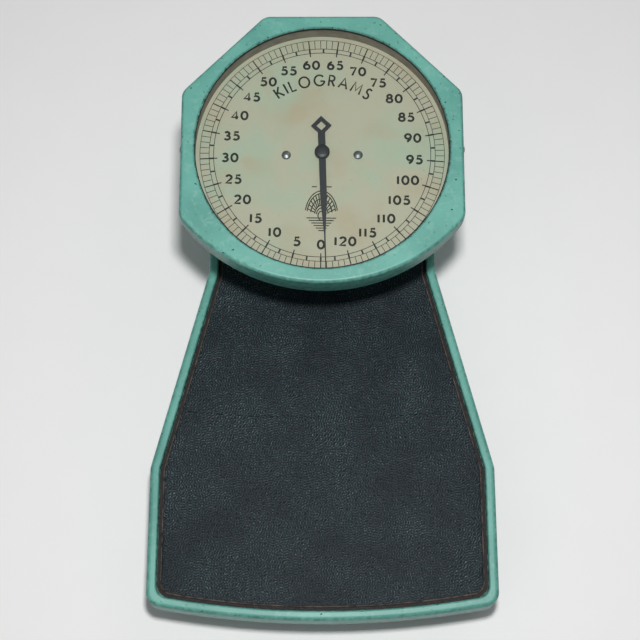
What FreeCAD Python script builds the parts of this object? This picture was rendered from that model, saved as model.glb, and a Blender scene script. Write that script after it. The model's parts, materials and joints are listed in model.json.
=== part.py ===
"""Mechanical dial platform scale: a parametric assembly of separate pieces.

Frame: millimetres, +Z up, +X to the right, +Y towards the dial head at the back.
The origin is the centre of the footprint, on the floor. Pieces in the dial head are
modelled in the head's own frame: its origin is the centre of the window on the bezel's
face, its X runs to the right, its Y up the dial and its Z out of the dial.
"""
import FreeCAD, Part
import math
import os

import Sketcher
from FreeCAD import Placement, Rotation, Vector

OUTPUT_FOLDER = "parts"

# alias, value in millimetres (or degrees, or a plain count), what it is
DIMENSIONS = [
    ("overall_length", 434, "front of the platform to the back of the head"),
    ("platform_width", 256, "widest part of the platform"),
    ("neck_width", 176, "platform where it runs under the head"),
    ("platform_height", 56, "floor to the top of the platform's rim"),
    ("kink_distance", 113, "front edge to where the sides start to taper"),
    ("neck_ahead", 62, "centre of the head to the start of the neck"),
    ("platform_end", 27, "centre of the head to the platform's back edge"),
    ("bow_depth", 12, "how far the front edge bows out"),
    ("outer_corner", 11, "radius of the platform's front corners"),
    ("bend_radius", 6, "radius of the platform's other corners"),
    ("sheet_wall", 1.2, "pressed steel"),
    ("bead_width", 7.2, "raised rim of the platform"),
    ("bead_rise", 5, "rim above the plate that carries the mat"),
    ("bead_round", 3.4, "outer round of the rim"),
    ("bead_lip", 1.6, "inner round of the rim"),
    ("skirt_depth", 20, "platform's side wall"),
    ("mat_gap", 2.7, "between the rim and the mat"),
    ("mat_thickness", 3, "rubber mat"),
    ("mat_corner", 9, "radius of the mat's corners"),
    ("foot_height", 8, "rubber foot"),
    ("foot_radius", 14, "rubber foot, where it stands"),
    ("foot_inset_side", 26, "side of the base to a front foot"),
    ("foot_inset_end", 30, "end of the base to a foot"),
    ("rear_foot_inset", 16, "side of the base's neck to a rear foot"),
    ("screw_radius", 2, "shank of the base's screws"),
    ("screw_head", 4, "radius of their heads"),
    ("screw_dome", 2.4, "height of their heads"),
    ("pan_clearance", 2.8, "base pan to the inside of the platform's wall"),
    ("pan_lap", 3, "how far the platform's wall hangs over the pan's"),
    ("pan_rear", 10, "back of the head to the back of the pan"),
    ("flange_width", 9, "inward flanges of the pan and the pedestal"),
    ("pedestal_gap", 3, "platform's back edge to the pedestal"),
    ("pedestal_top_width", 124, "pedestal where it meets the head"),
    ("pedestal_top_back", 46, "its back edge, up the dial from the centre"),
    ("pedestal_corner", 10, "radius of its corners"),
    ("lever_window", 44, "width of the opening that the long lever runs through"),
    ("dial_tilt", 4, "degrees that the dial leans towards the user"),
    ("face_height", 152, "floor to the centre of the window"),
    ("head_apothem", 103.4, "centre of the head to each flat of its octagon"),
    ("head_corner", 11, "radius of the head's corners"),
    ("chin_radius", 132, "arc that closes the head below"),
    ("chin_rise", 27.9, "that arc's centre above the window's centre"),
    ("window_radius", 93.2, "opening in the bezel"),
    ("window_bevel", 0.9, "chamfer round the opening"),
    ("bezel_skirt", 14, "bezel's side wall"),
    ("bezel_round", 2.6, "round between the bezel's face and its wall"),
    ("case_gap", 0.3, "between the bezel's wall and the case's"),
    ("case_depth", 32, "face of the bezel to the bottom of the case"),
    ("case_top", 4, "face of the bezel to the top of the case's wall"),
    ("case_round", 6, "round under the case"),
    ("glass_lap", 3, "glass beyond the opening"),
    ("glass_thickness", 2, "window glass"),
    ("gasket_thickness", 1, "rubber ring under the glass"),
    ("ring_width", 2.7, "ring that holds the glass off the dial"),
    ("dial_air", 12.3, "underside of the glass to the dial"),
    ("dial_thickness", 0.8, "printed dial"),
    ("dial_hole", 3.2, "radius of the hole that the arbor runs through"),
    ("dial_screw_place", 26.5, "centre of the dial to each of its two screws"),
    ("dial_screw_drop", 1.5, "centre of the dial down to the line of those screws"),
    ("dial_screw_head", 3.5, "radius of their domes"),
    ("dial_screw_rise", 1.7, "height of their domes"),
    ("dial_screw_shank", 1.25, "radius of their shanks"),
    ("bridge_drop", 1.2, "dial to the bridge under it"),
    ("bridge_thickness", 1.6, "bridge plate"),
    ("bridge_length", 74, "bridge plate, across the dial"),
    ("bridge_width", 22, "bridge plate, up the dial"),
    ("pillar_radius", 3.5, "pillars that carry the bridge and the dial"),
    ("pillar_neck", 2.4, "their shoulders through the bridge"),
    ("bush_radius", 3, "outside of the arbor's bushes"),
    ("bush_collar", 4.2, "their collars"),
    ("arbor_radius", 1.5, "shaft that carries the pointer"),
    ("running_clearance", 0.05, "radial play of a shaft in its bore"),
    ("play", 0.3, "gap between pieces that move past each other"),
    ("tooth_module", 0.6, "pinion and rack"),
    ("pinion_teeth", 17, "teeth of the pinion"),
    ("backlash", 0.1, "play between teeth"),
    ("pinion_face", 5.4, "length of the pinion's teeth"),
    ("rack_teeth", 22, "teeth of the rack"),
    ("rack_back", 12.4, "centre of the dial to the back of the rack"),
    ("rack_lift", 0.5, "case floor to the rack"),
    ("rack_height", 5.3, "rack, out of the dial"),
    ("rack_pin_drop", 3.5, "underside of the case to the rack's drive pin"),
    ("rack_pin_place", 18.25, "centre of the dial down to that pin, at rest"),
    ("pointer_rise", 2.4, "pointer above the dial"),
    ("pointer_thickness", 0.8, "pointer"),
    ("pointer_reach", 89.5, "arbor to the pointer's tip"),
    ("pointer_lead", 1.7, "degrees that the idle pointer stands before zero"),
    ("cap_radius", 5.6, "domed cap on the pointer's hub"),
    ("platform_travel", 1.2, "how far the platform sinks at the top of the dial"),
    ("lever_arm", 25, "fulcrum to load pin on both levers"),
    ("front_fulcrum", 52, "front edge of the platform to the long lever's fulcrum"),
    ("rear_fulcrum", 43, "centre of the head forward to the short lever's fulcrum"),
    ("nose_back", 22, "centre of the head back to the long lever's nose"),
    ("long_inset", 40, "side of the platform to the long lever's fulcrum"),
    ("short_inset", 26, "side of the neck to the short lever's fulcrum"),
    ("long_level", 41, "floor to the middle of the long lever"),
    ("short_level", 21.5, "floor to the middle of the short lever"),
    ("bar_height", 7, "lever bars"),
    ("bar_width", 8, "lever bars"),
    ("nose_width", 6, "end of the long lever"),
    ("pin_radius", 2.5, "fulcrum and load pins"),
    ("pin_length", 34, "fulcrum and load pins"),
    ("stand_width", 7, "fulcrum stands and load blocks, across the scale"),
    ("stand_length", 14, "fulcrum stands and load blocks, along the scale"),
    ("stiffener_depth", 3, "bars under the platform"),
    ("stiffener_width", 20, "bars under the platform"),
    ("link_thickness", 3, "stirrup that joins the levers"),
    ("draw_thickness", 2.5, "draw plate"),
    ("draw_bar_level", 60, "top of the draw plate's cross bar"),
    ("spring_spread", 22, "centre of the scale to each main spring"),
    ("spring_radius", 5, "middle of the main springs' wire"),
    ("spring_wire", 1, "radius of that wire"),
    ("spring_turns", 13, "turns of each main spring"),
    ("crank_drop", 52.07, "underside of the case to the bell crank's pivot"),
    ("crank_ahead", 23, "nose to the bell crank's pivot"),
    ("crank_pin", 2.5, "radius of the bell crank's pivot pin"),
    ("crank_hub", 5, "radius of the bell crank's hub"),
    ("crank_reach", 53, "pivot to the tip of the long arm"),
    ("crank_thickness", 3, "arms of the bell crank"),
    ("crank_swing", 35.87, "degrees that the bell crank turns over the whole dial"),
    ("dial_sweep", 345.6, "degrees that the pointer turns over the whole dial"),
    ("anchor_drop", 20.07, "underside of the case to the underside of the spring anchor"),
    ("anchor_thickness", 3, "spring anchor"),
    ("wheel_back", 23, "nose to the zero wheel's axis"),
    ("wheel_radius", 22, "zero wheel"),
    ("wheel_drop", 14, "underside of the spring anchor to the underside of the zero wheel"),
    ("wheel_thickness", 6, "zero wheel"),
    ("wheel_notches", 36, "grips round the zero wheel"),
    ("zero_screw_radius", 3, "screw that the zero wheel turns"),
    ("zero_travel", 2, "anchor's way up and down from the middle"),
    ("yoke_plate", 2, "plates that hold the zero screw"),
]

doc = FreeCAD.newDocument("DialPlatformScale")
sheet = doc.addObject("Spreadsheet::Sheet", "Sheet")
for row, (alias, amount, meaning) in enumerate(DIMENSIONS, start=1):
    sheet.set(f"A{row}", alias)
    sheet.set(f"B{row}", str(amount))
    sheet.set(f"C{row}", meaning)
    sheet.setAlias(f"B{row}", alias)
doc.recompute()

nodes = {}


# ---------------------------------------------------------------- values from the sheet
class Size:
    """An expression over the sheet's cells that can be added, scaled and measured."""

    def __init__(self, text):
        self.text = str(text)

    def __add__(self, other):
        return Size(f"({self.text} + {as_text(other)})")

    def __radd__(self, other):
        return Size(f"({as_text(other)} + {self.text})")

    def __sub__(self, other):
        return Size(f"({self.text} - {as_text(other)})")

    def __rsub__(self, other):
        return Size(f"({as_text(other)} - {self.text})")

    def __mul__(self, other):
        return Size(f"({self.text} * {as_text(other)})")

    def __rmul__(self, other):
        return Size(f"({as_text(other)} * {self.text})")

    def __truediv__(self, other):
        return Size(f"({self.text} / {as_text(other)})")

    def __neg__(self):
        return Size(f"(0 - {self.text})")

    def __float__(self):
        result = sheet.evalExpression(self.text)
        return float(getattr(result, "Value", result))


def as_text(amount):
    """The expression of a Size, or a plain number as text."""
    return amount.text if isinstance(amount, Size) else repr(float(amount))


def dim(alias):
    """The cell with this alias."""
    return Size(f"Sheet.{alias}")


def sine(degrees):
    return Size(f"sin({as_text(degrees)} * 1deg)")


def cosine(degrees):
    return Size(f"cos({as_text(degrees)} * 1deg)")


ZERO = Size("0")
WALL = dim("sheet_wall")
TILT = dim("dial_tilt")

# places along the scale
FRONT_Y = -dim("overall_length") / 2
HEAD_Y = (dim("overall_length") / 2 - dim("head_apothem") * cosine(TILT)
          - dim("bezel_skirt") * sine(TILT))
KINK_Y = FRONT_Y + dim("kink_distance")
NECK_Y = HEAD_Y - dim("neck_ahead")
PLATFORM_REAR_Y = HEAD_Y - dim("platform_end")
PEDESTAL_FRONT_Y = PLATFORM_REAR_Y + dim("pedestal_gap")
PAN_REAR_Y = dim("overall_length") / 2 - dim("pan_rear")
LONG_FULCRUM_Y = FRONT_Y + dim("front_fulcrum")
SHORT_FULCRUM_Y = HEAD_Y - dim("rear_fulcrum")
NOSE_Y = HEAD_Y + dim("nose_back")
LINK_Y = (LONG_FULCRUM_Y + SHORT_FULCRUM_Y) / 2
LONG_LOAD_Y = LONG_FULCRUM_Y + dim("lever_arm")
SHORT_LOAD_Y = SHORT_FULCRUM_Y - dim("lever_arm")
CRANK_Y = NOSE_Y - dim("crank_ahead")
WHEEL_Y = NOSE_Y + dim("wheel_back")

# levels above the floor
PLATE_TOP_Z = dim("platform_height") - dim("bead_rise")
PLATE_BOTTOM_Z = PLATE_TOP_Z - WALL
SKIRT_Z = dim("platform_height") - dim("skirt_depth")
PAN_FLOOR_Z = dim("foot_height") + WALL
PAN_TOP_Z = SKIRT_Z + dim("pan_lap")
PAN_INSET = WALL + dim("pan_clearance")
PAN_NECK_HALF = dim("neck_width") / 2 - PAN_INSET
BLOCK_TOP_Z = PLATE_BOTTOM_Z - dim("stiffener_depth")
CASE_LEVEL_Z = dim("face_height") - dim("case_depth") * cosine(TILT)
CRANK_LEVEL_Z = CASE_LEVEL_Z - dim("crank_drop")
ANCHOR_LEVEL_Z = CASE_LEVEL_Z - dim("anchor_drop")
WHEEL_LEVEL_Z = ANCHOR_LEVEL_Z - dim("wheel_drop")

# levels in the head, measured out of the dial from the bezel's face
GLASS_TOP_Z = -WALL
GLASS_BOTTOM_Z = GLASS_TOP_Z - dim("glass_thickness")
GASKET_BOTTOM_Z = GLASS_BOTTOM_Z - dim("gasket_thickness")
DIAL_TOP_Z = GLASS_BOTTOM_Z - dim("dial_air")
DIAL_BOTTOM_Z = DIAL_TOP_Z - dim("dial_thickness")
BRIDGE_TOP_Z = DIAL_BOTTOM_Z - dim("bridge_drop")
BRIDGE_BOTTOM_Z = BRIDGE_TOP_Z - dim("bridge_thickness")
CASE_BOTTOM_Z = -dim("case_depth")
CASE_FLOOR_Z = CASE_BOTTOM_Z + WALL
RACK_BOTTOM_Z = CASE_FLOOR_Z + dim("rack_lift")
POINTER_Z = DIAL_TOP_Z + dim("pointer_rise")
GLASS_RADIUS = dim("window_radius") + dim("glass_lap")
PITCH_RADIUS = dim("tooth_module") * dim("pinion_teeth") / 2


# ---------------------------------------------------------------- building helpers
def register(item, label, in_head=False):
    """Give a finished piece its name, and its place if it belongs to the head."""
    item.Label = label
    if in_head:
        place_in_head(item)
    nodes[label] = item
    return item


def place_in_head(item):
    """Carry a piece from the head's frame to where the head stands."""
    item.Placement = Placement(Vector(0, float(HEAD_Y), float(dim("face_height"))),
                               Rotation(Vector(1, 0, 0), float(TILT)))
    item.setExpression("Placement.Base.y", HEAD_Y.text)
    item.setExpression("Placement.Base.z", dim("face_height").text)
    item.setExpression("Placement.Rotation.Angle", TILT.text)


def new_body(name):
    return doc.addObject("PartDesign::Body", name)


def new_sketch(body, role="XY_Plane", offset=ZERO):
    """A sketch on one of the body's own planes, moved along that plane's normal."""
    plane = next(item for item in body.Origin.OriginFeatures if item.Role == role)
    sketch = body.newObject("Sketcher::SketchObject", body.Name + "_outline")
    sketch.AttachmentSupport = [(plane, "")]
    sketch.MapMode = "FlatFace"
    sketch.setExpression("AttachmentOffset.Base.z", as_text(offset))
    return sketch


def pin_point(sketch, shape_index, point_index, across, along):
    """Hold one point of a sketch at its two distances from the origin."""
    for kind, amount in (("DistanceX", across), ("DistanceY", along)):
        origin, origin_point = -1, 1
        held = sketch.addConstraint(Sketcher.Constraint(
            kind, origin, origin_point, shape_index, point_index, float(amount)))
        sketch.setExpression(f"Constraints[{held}]", as_text(amount))


def draw_circle(sketch, across, along, radius):
    centre = Vector(float(across), float(along), 0)
    circle = sketch.addGeometry(Part.Circle(centre, Vector(0, 0, 1), float(radius)))
    held = sketch.addConstraint(Sketcher.Constraint("Radius", circle, float(radius)))
    sketch.setExpression(f"Constraints[{held}]", as_text(radius))
    centre_point = 3
    pin_point(sketch, circle, centre_point, across, along)


def draw_polygon(sketch, points):
    """A closed outline, each corner held by its two distances from the origin."""
    corners = [Vector(float(across), float(along), 0) for across, along in points]
    first = sketch.GeometryCount
    for start, end in zip(corners, corners[1:] + corners[:1]):
        sketch.addGeometry(Part.LineSegment(start, end))
    start_point, end_point = 1, 2
    for step, (across, along) in enumerate(points):
        line = first + step
        following = first + (step + 1) % len(points)
        sketch.addConstraint(Sketcher.Constraint(
            "Coincident", line, end_point, following, start_point))
        pin_point(sketch, line, start_point, across, along)


def draw_rectangle(sketch, left, bottom, right, top):
    draw_polygon(sketch, [(left, bottom), (right, bottom), (right, top), (left, top)])


def pad(body, sketch, length):
    feature = body.newObject("PartDesign::Pad", body.Name + "_pad")
    feature.Profile = sketch
    feature.setExpression("Length", as_text(length))
    return feature


def pocket(body, sketch, length):
    """A pocket that cuts upwards from its sketch."""
    feature = body.newObject("PartDesign::Pocket", body.Name + "_pocket")
    feature.Profile = sketch
    feature.Reversed = True
    feature.setExpression("Length", as_text(length))
    return feature


def revolve(name, profile):
    """A body of revolution about its own Z axis, from (radius, height) corners."""
    body = new_body(name)
    sketch = new_sketch(body, "XZ_Plane")
    draw_polygon(sketch, profile)
    feature = body.newObject("PartDesign::Revolution", name + "_turn")
    feature.Profile = sketch
    feature.ReferenceAxis = (sketch, ["V_Axis"])
    feature.Angle = 360
    return body


def extrude(name, outlines, bottom, thickness, plane="XY_Plane"):
    """A plate from functions that draw its outline and its holes in one sketch."""
    body = new_body(name)
    sketch = new_sketch(body, plane, bottom)
    for draw in outlines:
        draw(sketch)
    pad(body, sketch, thickness)
    return body


def circle(across, along, radius):
    return lambda sketch: draw_circle(sketch, across, along, radius)


def polygon(points):
    return lambda sketch: draw_polygon(sketch, points)


def rectangle(left, bottom, right, top):
    return lambda sketch: draw_rectangle(sketch, left, bottom, right, top)


def put(item, across, along, up, axis=None, turn=0):
    """Place an object at three sizes, turned about an axis."""
    rotation = Rotation(axis, turn) if axis else Rotation()
    item.Placement = Placement(Vector(float(across), float(along), float(up)), rotation)
    for letter, amount in zip("xyz", (across, along, up)):
        item.setExpression(f"Placement.Base.{letter}", as_text(amount))
    return item


def cylinder(name, radius, height, across, along, up, axis=None, turn=0):
    item = doc.addObject("Part::Cylinder", name)
    item.setExpression("Radius", as_text(radius))
    item.setExpression("Height", as_text(height))
    return put(item, across, along, up, axis, turn)


def box(name, left, right, front, back, low, high):
    """A box between two sizes along each axis."""
    item = doc.addObject("Part::Box", name)
    item.setExpression("Length", as_text(right - left))
    item.setExpression("Width", as_text(back - front))
    item.setExpression("Height", as_text(high - low))
    return put(item, left, front, low)


def fuse(name, pieces):
    item = doc.addObject("Part::MultiFuse", name)
    item.Shapes = pieces
    item.Refine = True
    return item


def cut(name, base, tool):
    item = doc.addObject("Part::Cut", name)
    item.Base = base
    item.Tool = tool
    return item


def group(name, pieces):
    item = doc.addObject("Part::Compound", name)
    item.Links = pieces
    return item


def feature(name, shape):
    item = doc.addObject("Part::Feature", name)
    item.Shape = shape
    return item


def both_sides(make):
    """The left and the right copy of a piece that make(side) builds."""
    return [make(side) for side in (-1, 1)]


def edges_where(shape, test):
    return [edge for edge in shape.Edges if test(edge)]


def is_upright(edge):
    box_of_edge = edge.BoundBox
    return box_of_edge.ZLength > 1e-3 and max(box_of_edge.XLength, box_of_edge.YLength) < 1e-6


def at_level(level):
    return lambda edge: (abs(edge.BoundBox.ZMin - level) < 1e-6
                         and abs(edge.BoundBox.ZMax - level) < 1e-6)


def prism(wire, low, high):
    """A solid between two levels over a flat closed wire at level zero."""
    face = Part.Face(wire)
    face.translate(Vector(0, 0, low))
    return face.extrude(Vector(0, 0, high - low))


def inset_wire(wire, inset):
    """The same outline, moved inwards."""
    intersection_join = 2
    return wire.makeOffset2D(-inset, intersection_join) if inset else wire


def rounded_prism(wire, low, high, radius_of):
    """A prism whose upright edges are rounded by radius_of(edge's X and Y)."""
    solid = prism(wire, low, high)
    by_radius = {}
    for edge in edges_where(solid, is_upright):
        spot = edge.CenterOfMass
        by_radius.setdefault(radius_of(spot.x, spot.y), []).append(edge)
    for radius, edges in by_radius.items():
        if radius > 0:
            spots = [edge.CenterOfMass for edge in edges]
            current = [edge for edge in edges_where(solid, is_upright)
                       if any(edge.CenterOfMass.isEqual(spot, 1e-4) for spot in spots)]
            solid = solid.makeFillet(radius, current)
    return solid


# ---------------------------------------------------------------- outlines
def platform_wire(rear, neck_half):
    """The platform's plan: bowed front, parallel sides, a taper and a neck."""
    half = float(dim("platform_width")) / 2
    front = float(FRONT_Y)
    shoulder = front + float(dim("bow_depth"))
    corners = [Vector(half, shoulder, 0), Vector(half, float(KINK_Y), 0),
               Vector(neck_half, float(NECK_Y), 0), Vector(neck_half, rear, 0),
               Vector(-neck_half, rear, 0), Vector(-neck_half, float(NECK_Y), 0),
               Vector(-half, float(KINK_Y), 0), Vector(-half, shoulder, 0)]
    edges = [Part.LineSegment(start, end).toShape()
             for start, end in zip(corners, corners[1:])]
    edges.append(Part.Arc(corners[-1], Vector(0, front, 0), corners[0]).toShape())
    return Part.Wire(edges)


def platform_radius(front_radius, other_radius):
    """The corner radii of the platform's plan: one in front, another elsewhere."""
    def radius_of(across, along):
        return front_radius if along < float(KINK_Y) - float(dim("bend_radius")) else other_radius
    return radius_of


def head_wire():
    """The head's face: an octagon above, one large arc below."""
    flat = float(dim("head_apothem"))
    half = flat * math.tan(math.radians(22.5))
    radius = float(dim("chin_radius"))
    rise = float(dim("chin_rise"))
    cheek = rise - math.sqrt(radius ** 2 - flat ** 2)
    corners = [Vector(flat, cheek, 0), Vector(flat, half, 0), Vector(half, flat, 0),
               Vector(-half, flat, 0), Vector(-flat, half, 0), Vector(-flat, cheek, 0)]
    edges = [Part.LineSegment(start, end).toShape()
             for start, end in zip(corners, corners[1:])]
    edges.append(Part.Arc(corners[-1], Vector(0, rise - radius, 0), corners[0]).toShape())
    return Part.Wire(edges)


def head_prism(inset, low, high):
    """A piece of the head between two levels, inset from its outline."""
    radius = float(dim("head_corner")) - inset
    return rounded_prism(inset_wire(head_wire(), inset), low, high, lambda across, along: radius)


def rectangle_wire(half_width, front, back, level):
    corners = [Vector(-half_width, front, level), Vector(half_width, front, level),
               Vector(half_width, back, level), Vector(-half_width, back, level)]
    return Part.makePolygon(corners + corners[:1])


def rounded_rectangle(half_width, front, back, radius, level):
    """A flat rectangle's wire with round corners."""
    flat = Part.Face(rectangle_wire(half_width, front, back, level))
    block = flat.extrude(Vector(0, 0, 1))
    block = block.makeFillet(radius, edges_where(block, is_upright))
    bottom = next(face for face in block.Faces
                  if abs(face.BoundBox.ZMax - level) < 1e-6)
    return bottom.OuterWire


# ---------------------------------------------------------------- platform
def make_platform_tray():
    """Pressed tray: a hollow raised rim round a flat plate, and a side wall."""
    wall = float(WALL)
    top = float(dim("platform_height"))
    bead = float(dim("bead_width"))
    corner = float(dim("outer_corner"))
    bend = float(dim("bend_radius"))
    inner_corner = float(dim("mat_corner"))
    outline = platform_wire(float(PLATFORM_REAR_Y), float(dim("neck_width")) / 2)
    tray = rounded_prism(outline, float(SKIRT_Z), top, platform_radius(corner, bend))
    tray = tray.makeFillet(float(dim("bead_round")), edges_where(tray, at_level(top)))
    recess = rounded_prism(inset_wire(outline, bead), float(PLATE_TOP_Z), top + 1,
                           platform_radius(inner_corner, bend))
    tray = tray.cut(recess)
    rim_edges = [edge for edge in edges_where(tray, at_level(top))
                 if edge.BoundBox.XMax <= float(dim("platform_width")) / 2 - bead + 1e-3]
    lip = [edge for edge in rim_edges if is_inner_rim(edge, recess)]
    tray = tray.makeFillet(float(dim("bead_lip")), lip)
    hollow = rounded_prism(inset_wire(outline, wall), float(SKIRT_Z) - 1,
                           float(PLATE_BOTTOM_Z), platform_radius(corner - wall, bend - wall))
    bead_outer = rounded_prism(inset_wire(outline, wall), float(PLATE_BOTTOM_Z) - 1,
                               top - float(dim("bead_round")),
                               platform_radius(corner - wall, bend - wall))
    bead_inner = rounded_prism(inset_wire(outline, bead - wall), float(PLATE_BOTTOM_Z) - 2, top,
                               platform_radius(inner_corner + wall, bend))
    window = float(dim("lever_window"))
    below = float(SKIRT_Z) - 1
    back = float(PLATFORM_REAR_Y) - 3 * wall
    notch = Part.makeBox(window, 4 * wall, float(PLATE_BOTTOM_Z) - below,
                         Vector(-window / 2, back, below))
    over_pan = float(PAN_TOP_Z + dim("platform_travel") + dim("play") * 3)
    across = float(PAN_NECK_HALF + dim("play") * 3)
    rise = Part.makeBox(2 * across, 4 * wall, over_pan - below, Vector(-across, back, below))
    return tray.cut(hollow).cut(bead_outer.cut(bead_inner)).cut(notch).cut(rise)


def is_inner_rim(edge, recess):
    """Whether an edge on top of the rim lies on the recess's wall."""
    point = edge.valueAt((edge.FirstParameter + edge.LastParameter) / 2)
    return recess.isInside(point + Vector(0, 0, 0.5), 1e-3, True)


def make_rubber_mat():
    """Flat mat inside the rim."""
    inset = float(dim("bead_width") + dim("mat_gap"))
    low = float(PLATE_TOP_Z)
    outline = platform_wire(float(PLATFORM_REAR_Y), float(dim("neck_width")) / 2)
    return rounded_prism(inset_wire(outline, inset), low, low + float(dim("mat_thickness")),
                         platform_radius(float(dim("mat_corner")), float(dim("bend_radius"))))


register(feature("platform_tray", make_platform_tray()), "platform_tray")
register(feature("rubber_mat", make_rubber_mat()), "rubber_mat")


LONG_SPREAD = dim("platform_width") / 2 - dim("long_inset")
SHORT_SPREAD = dim("neck_width") / 2 - dim("short_inset")


def arm_across(along):
    """The middle of the long lever's arm at a place along the scale."""
    return LONG_SPREAD * (NOSE_Y - along) / (NOSE_Y - LONG_FULCRUM_Y)


def short_arm_across(along):
    """The middle of the short lever's arm at a place along the scale."""
    return SHORT_SPREAD * (along - LINK_Y) / (SHORT_FULCRUM_Y - LINK_Y)


def pin_across(middle, side):
    """Where a pin along X starts, so that its middle stands at a lever's arm."""
    return middle * side - dim("pin_length") / 2


LONG_LOAD_X = arm_across(LONG_LOAD_Y)
SHORT_LOAD_X = short_arm_across(SHORT_LOAD_Y)
LONG_SLOPE = LONG_SPREAD / (NOSE_Y - LONG_FULCRUM_Y)
SHORT_SLOPE = SHORT_SPREAD / (SHORT_FULCRUM_Y - LINK_Y)


def beside_arm(slope):
    """From the middle of a lever's arm to a block that stands clear beside it."""
    return (dim("bar_width") / 2 + dim("play")
            + (dim("stand_length") + dim("bar_width")) / 2 * slope)


def load_block(name, middle, along, level, slope, side):
    """Block under the platform whose notch rides on a lever's load pin."""
    inner = middle + beside_arm(slope)
    left = inner if side > 0 else -inner - dim("stand_width")
    block = box(name + "_block", left, left + dim("stand_width"),
                along - dim("stand_length") / 2, along + dim("stand_length") / 2,
                level - dim("pin_radius") / 2, BLOCK_TOP_Z)
    notch = cylinder(name + "_notch", dim("pin_radius") + dim("play"),
                     dim("stand_width") + 2, left - 1, along, level, Vector(0, 1, 0), 90)
    return cut(name, block, notch)


for label, spread, along, level, slope in (
        ("front_load_blocks", LONG_LOAD_X, LONG_LOAD_Y, dim("long_level"), LONG_SLOPE),
        ("rear_load_blocks", SHORT_LOAD_X, SHORT_LOAD_Y, dim("short_level"), SHORT_SLOPE)):
    blocks = both_sides(lambda side: load_block(
        f"{label}_{'left' if side < 0 else 'right'}", spread, along, level, slope, side))
    register(group(label, blocks), label)

for label, along, reach in (
        ("front_stiffener", LONG_LOAD_Y, dim("platform_width") / 2 - dim("bead_width") * 3),
        ("rear_stiffener", SHORT_LOAD_Y, dim("neck_width") / 2 - dim("bead_width") * 2)):
    register(box(label, -reach, reach, along - dim("stiffener_width") / 2,
                 along + dim("stiffener_width") / 2, BLOCK_TOP_Z, PLATE_BOTTOM_Z), label)


# ---------------------------------------------------------------- base
def foot_spots():
    """The four feet: two under the front corners, two under the pedestal."""
    front = FRONT_Y + dim("foot_inset_end")
    rear = PAN_REAR_Y - dim("foot_inset_end") + dim("foot_radius") / 2
    front_across = dim("platform_width") / 2 - dim("foot_inset_side") - PAN_INSET
    rear_across = PAN_NECK_HALF - dim("rear_foot_inset")
    return [(front_across * side, front) for side in (-1, 1)] + [
        (rear_across * side, rear) for side in (-1, 1)]


def flange_screw_spots():
    """The four screws that hold the pedestal down on the pan's flange."""
    across = PAN_NECK_HALF - WALL - dim("flange_width") / 2
    front = PEDESTAL_FRONT_Y + dim("flange_width") * 2
    rear = PAN_REAR_Y - dim("flange_width") * 2
    return [(across * side, along) for side in (-1, 1) for along in (front, rear)]


def screws(label, spots, head_level, shank_length):
    """Dome-headed screws along Z at several spots, as one node."""
    shank, head, dome = dim("screw_radius"), dim("screw_head"), dim("screw_dome")
    profile = [(ZERO, -shank_length), (shank, -shank_length), (shank, ZERO), (head, ZERO),
               (head * 0.8, dome * 0.6), (head * 0.4, dome), (ZERO, dome)]
    return group(label, [put(revolve(f"{label}_{number}", profile), across, along, head_level)
                         for number, (across, along) in enumerate(spots)])


def make_base_pan():
    """Pressed pan: the platform's plan set in, drawn on to the back under the pedestal."""
    wall = float(WALL)
    inset = float(PAN_INSET)
    corner = float(dim("outer_corner"))
    bend = float(dim("bend_radius"))
    low = float(dim("foot_height"))
    top = float(PAN_TOP_Z)
    rear = float(PAN_REAR_Y) + inset
    outline = platform_wire(rear, float(dim("neck_width")) / 2)
    pan = rounded_prism(inset_wire(outline, inset), low, top,
                        platform_radius(corner - inset / 2, bend))
    bottom = edges_where(pan, at_level(low))
    pan = pan.makeFillet(wall * 2, bottom)
    hollow = rounded_prism(inset_wire(outline, inset + wall), float(PAN_FLOOR_Z), top + 1,
                           platform_radius(corner - inset / 2 - wall, bend - wall))
    inside = edges_where(hollow, at_level(float(PAN_FLOOR_Z)))
    pan = pan.cut(hollow.makeFillet(wall, inside))
    return pan.fuse(flange_ring(top - wall, top)).removeSplitter()


def flange_ring(low, high):
    """Inward flange round the pedestal's three closed sides, at the joint with the pan."""
    wall = float(WALL)
    half = float(PAN_NECK_HALF)
    width = float(dim("flange_width"))
    front = float(PEDESTAL_FRONT_Y)
    rear = float(PAN_REAR_Y)
    radius = float(dim("bend_radius")) - wall
    outer = prism(rounded_rectangle(half - wall, front, rear - wall, radius, 0), low, high)
    inner = prism(rectangle_wire(half - wall - width, front - 1, rear - wall - width, 0),
                  low - 1, high + 1)
    return outer.cut(inner)


feet_profile = [
    (ZERO, ZERO), (dim("foot_radius"), ZERO),
    (dim("foot_radius"), dim("foot_height") * 0.35),
    (dim("foot_radius") * 0.82, dim("foot_height")), (ZERO, dim("foot_height"))]
foot_pieces = [put(revolve(f"foot_{number}", feet_profile), across, along, ZERO)
               for number, (across, along) in enumerate(foot_spots())]
foot_screws = screws("foot_screws", foot_spots(), PAN_FLOOR_Z, dim("foot_height") * 0.8)
register(foot_screws, "foot_screws")
register(cut("rubber_feet", group("feet_blank", foot_pieces), foot_screws), "rubber_feet")
pedestal_screws = screws("pedestal_screws", flange_screw_spots(), PAN_TOP_Z + WALL,
                         dim("screw_head") * 1.5)
register(pedestal_screws, "pedestal_screws")
pan_fixings = group("pan_fixings", [foot_screws, pedestal_screws])
register(cut("base_pan", feature("base_pan_blank", make_base_pan()), pan_fixings), "base_pan")


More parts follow.
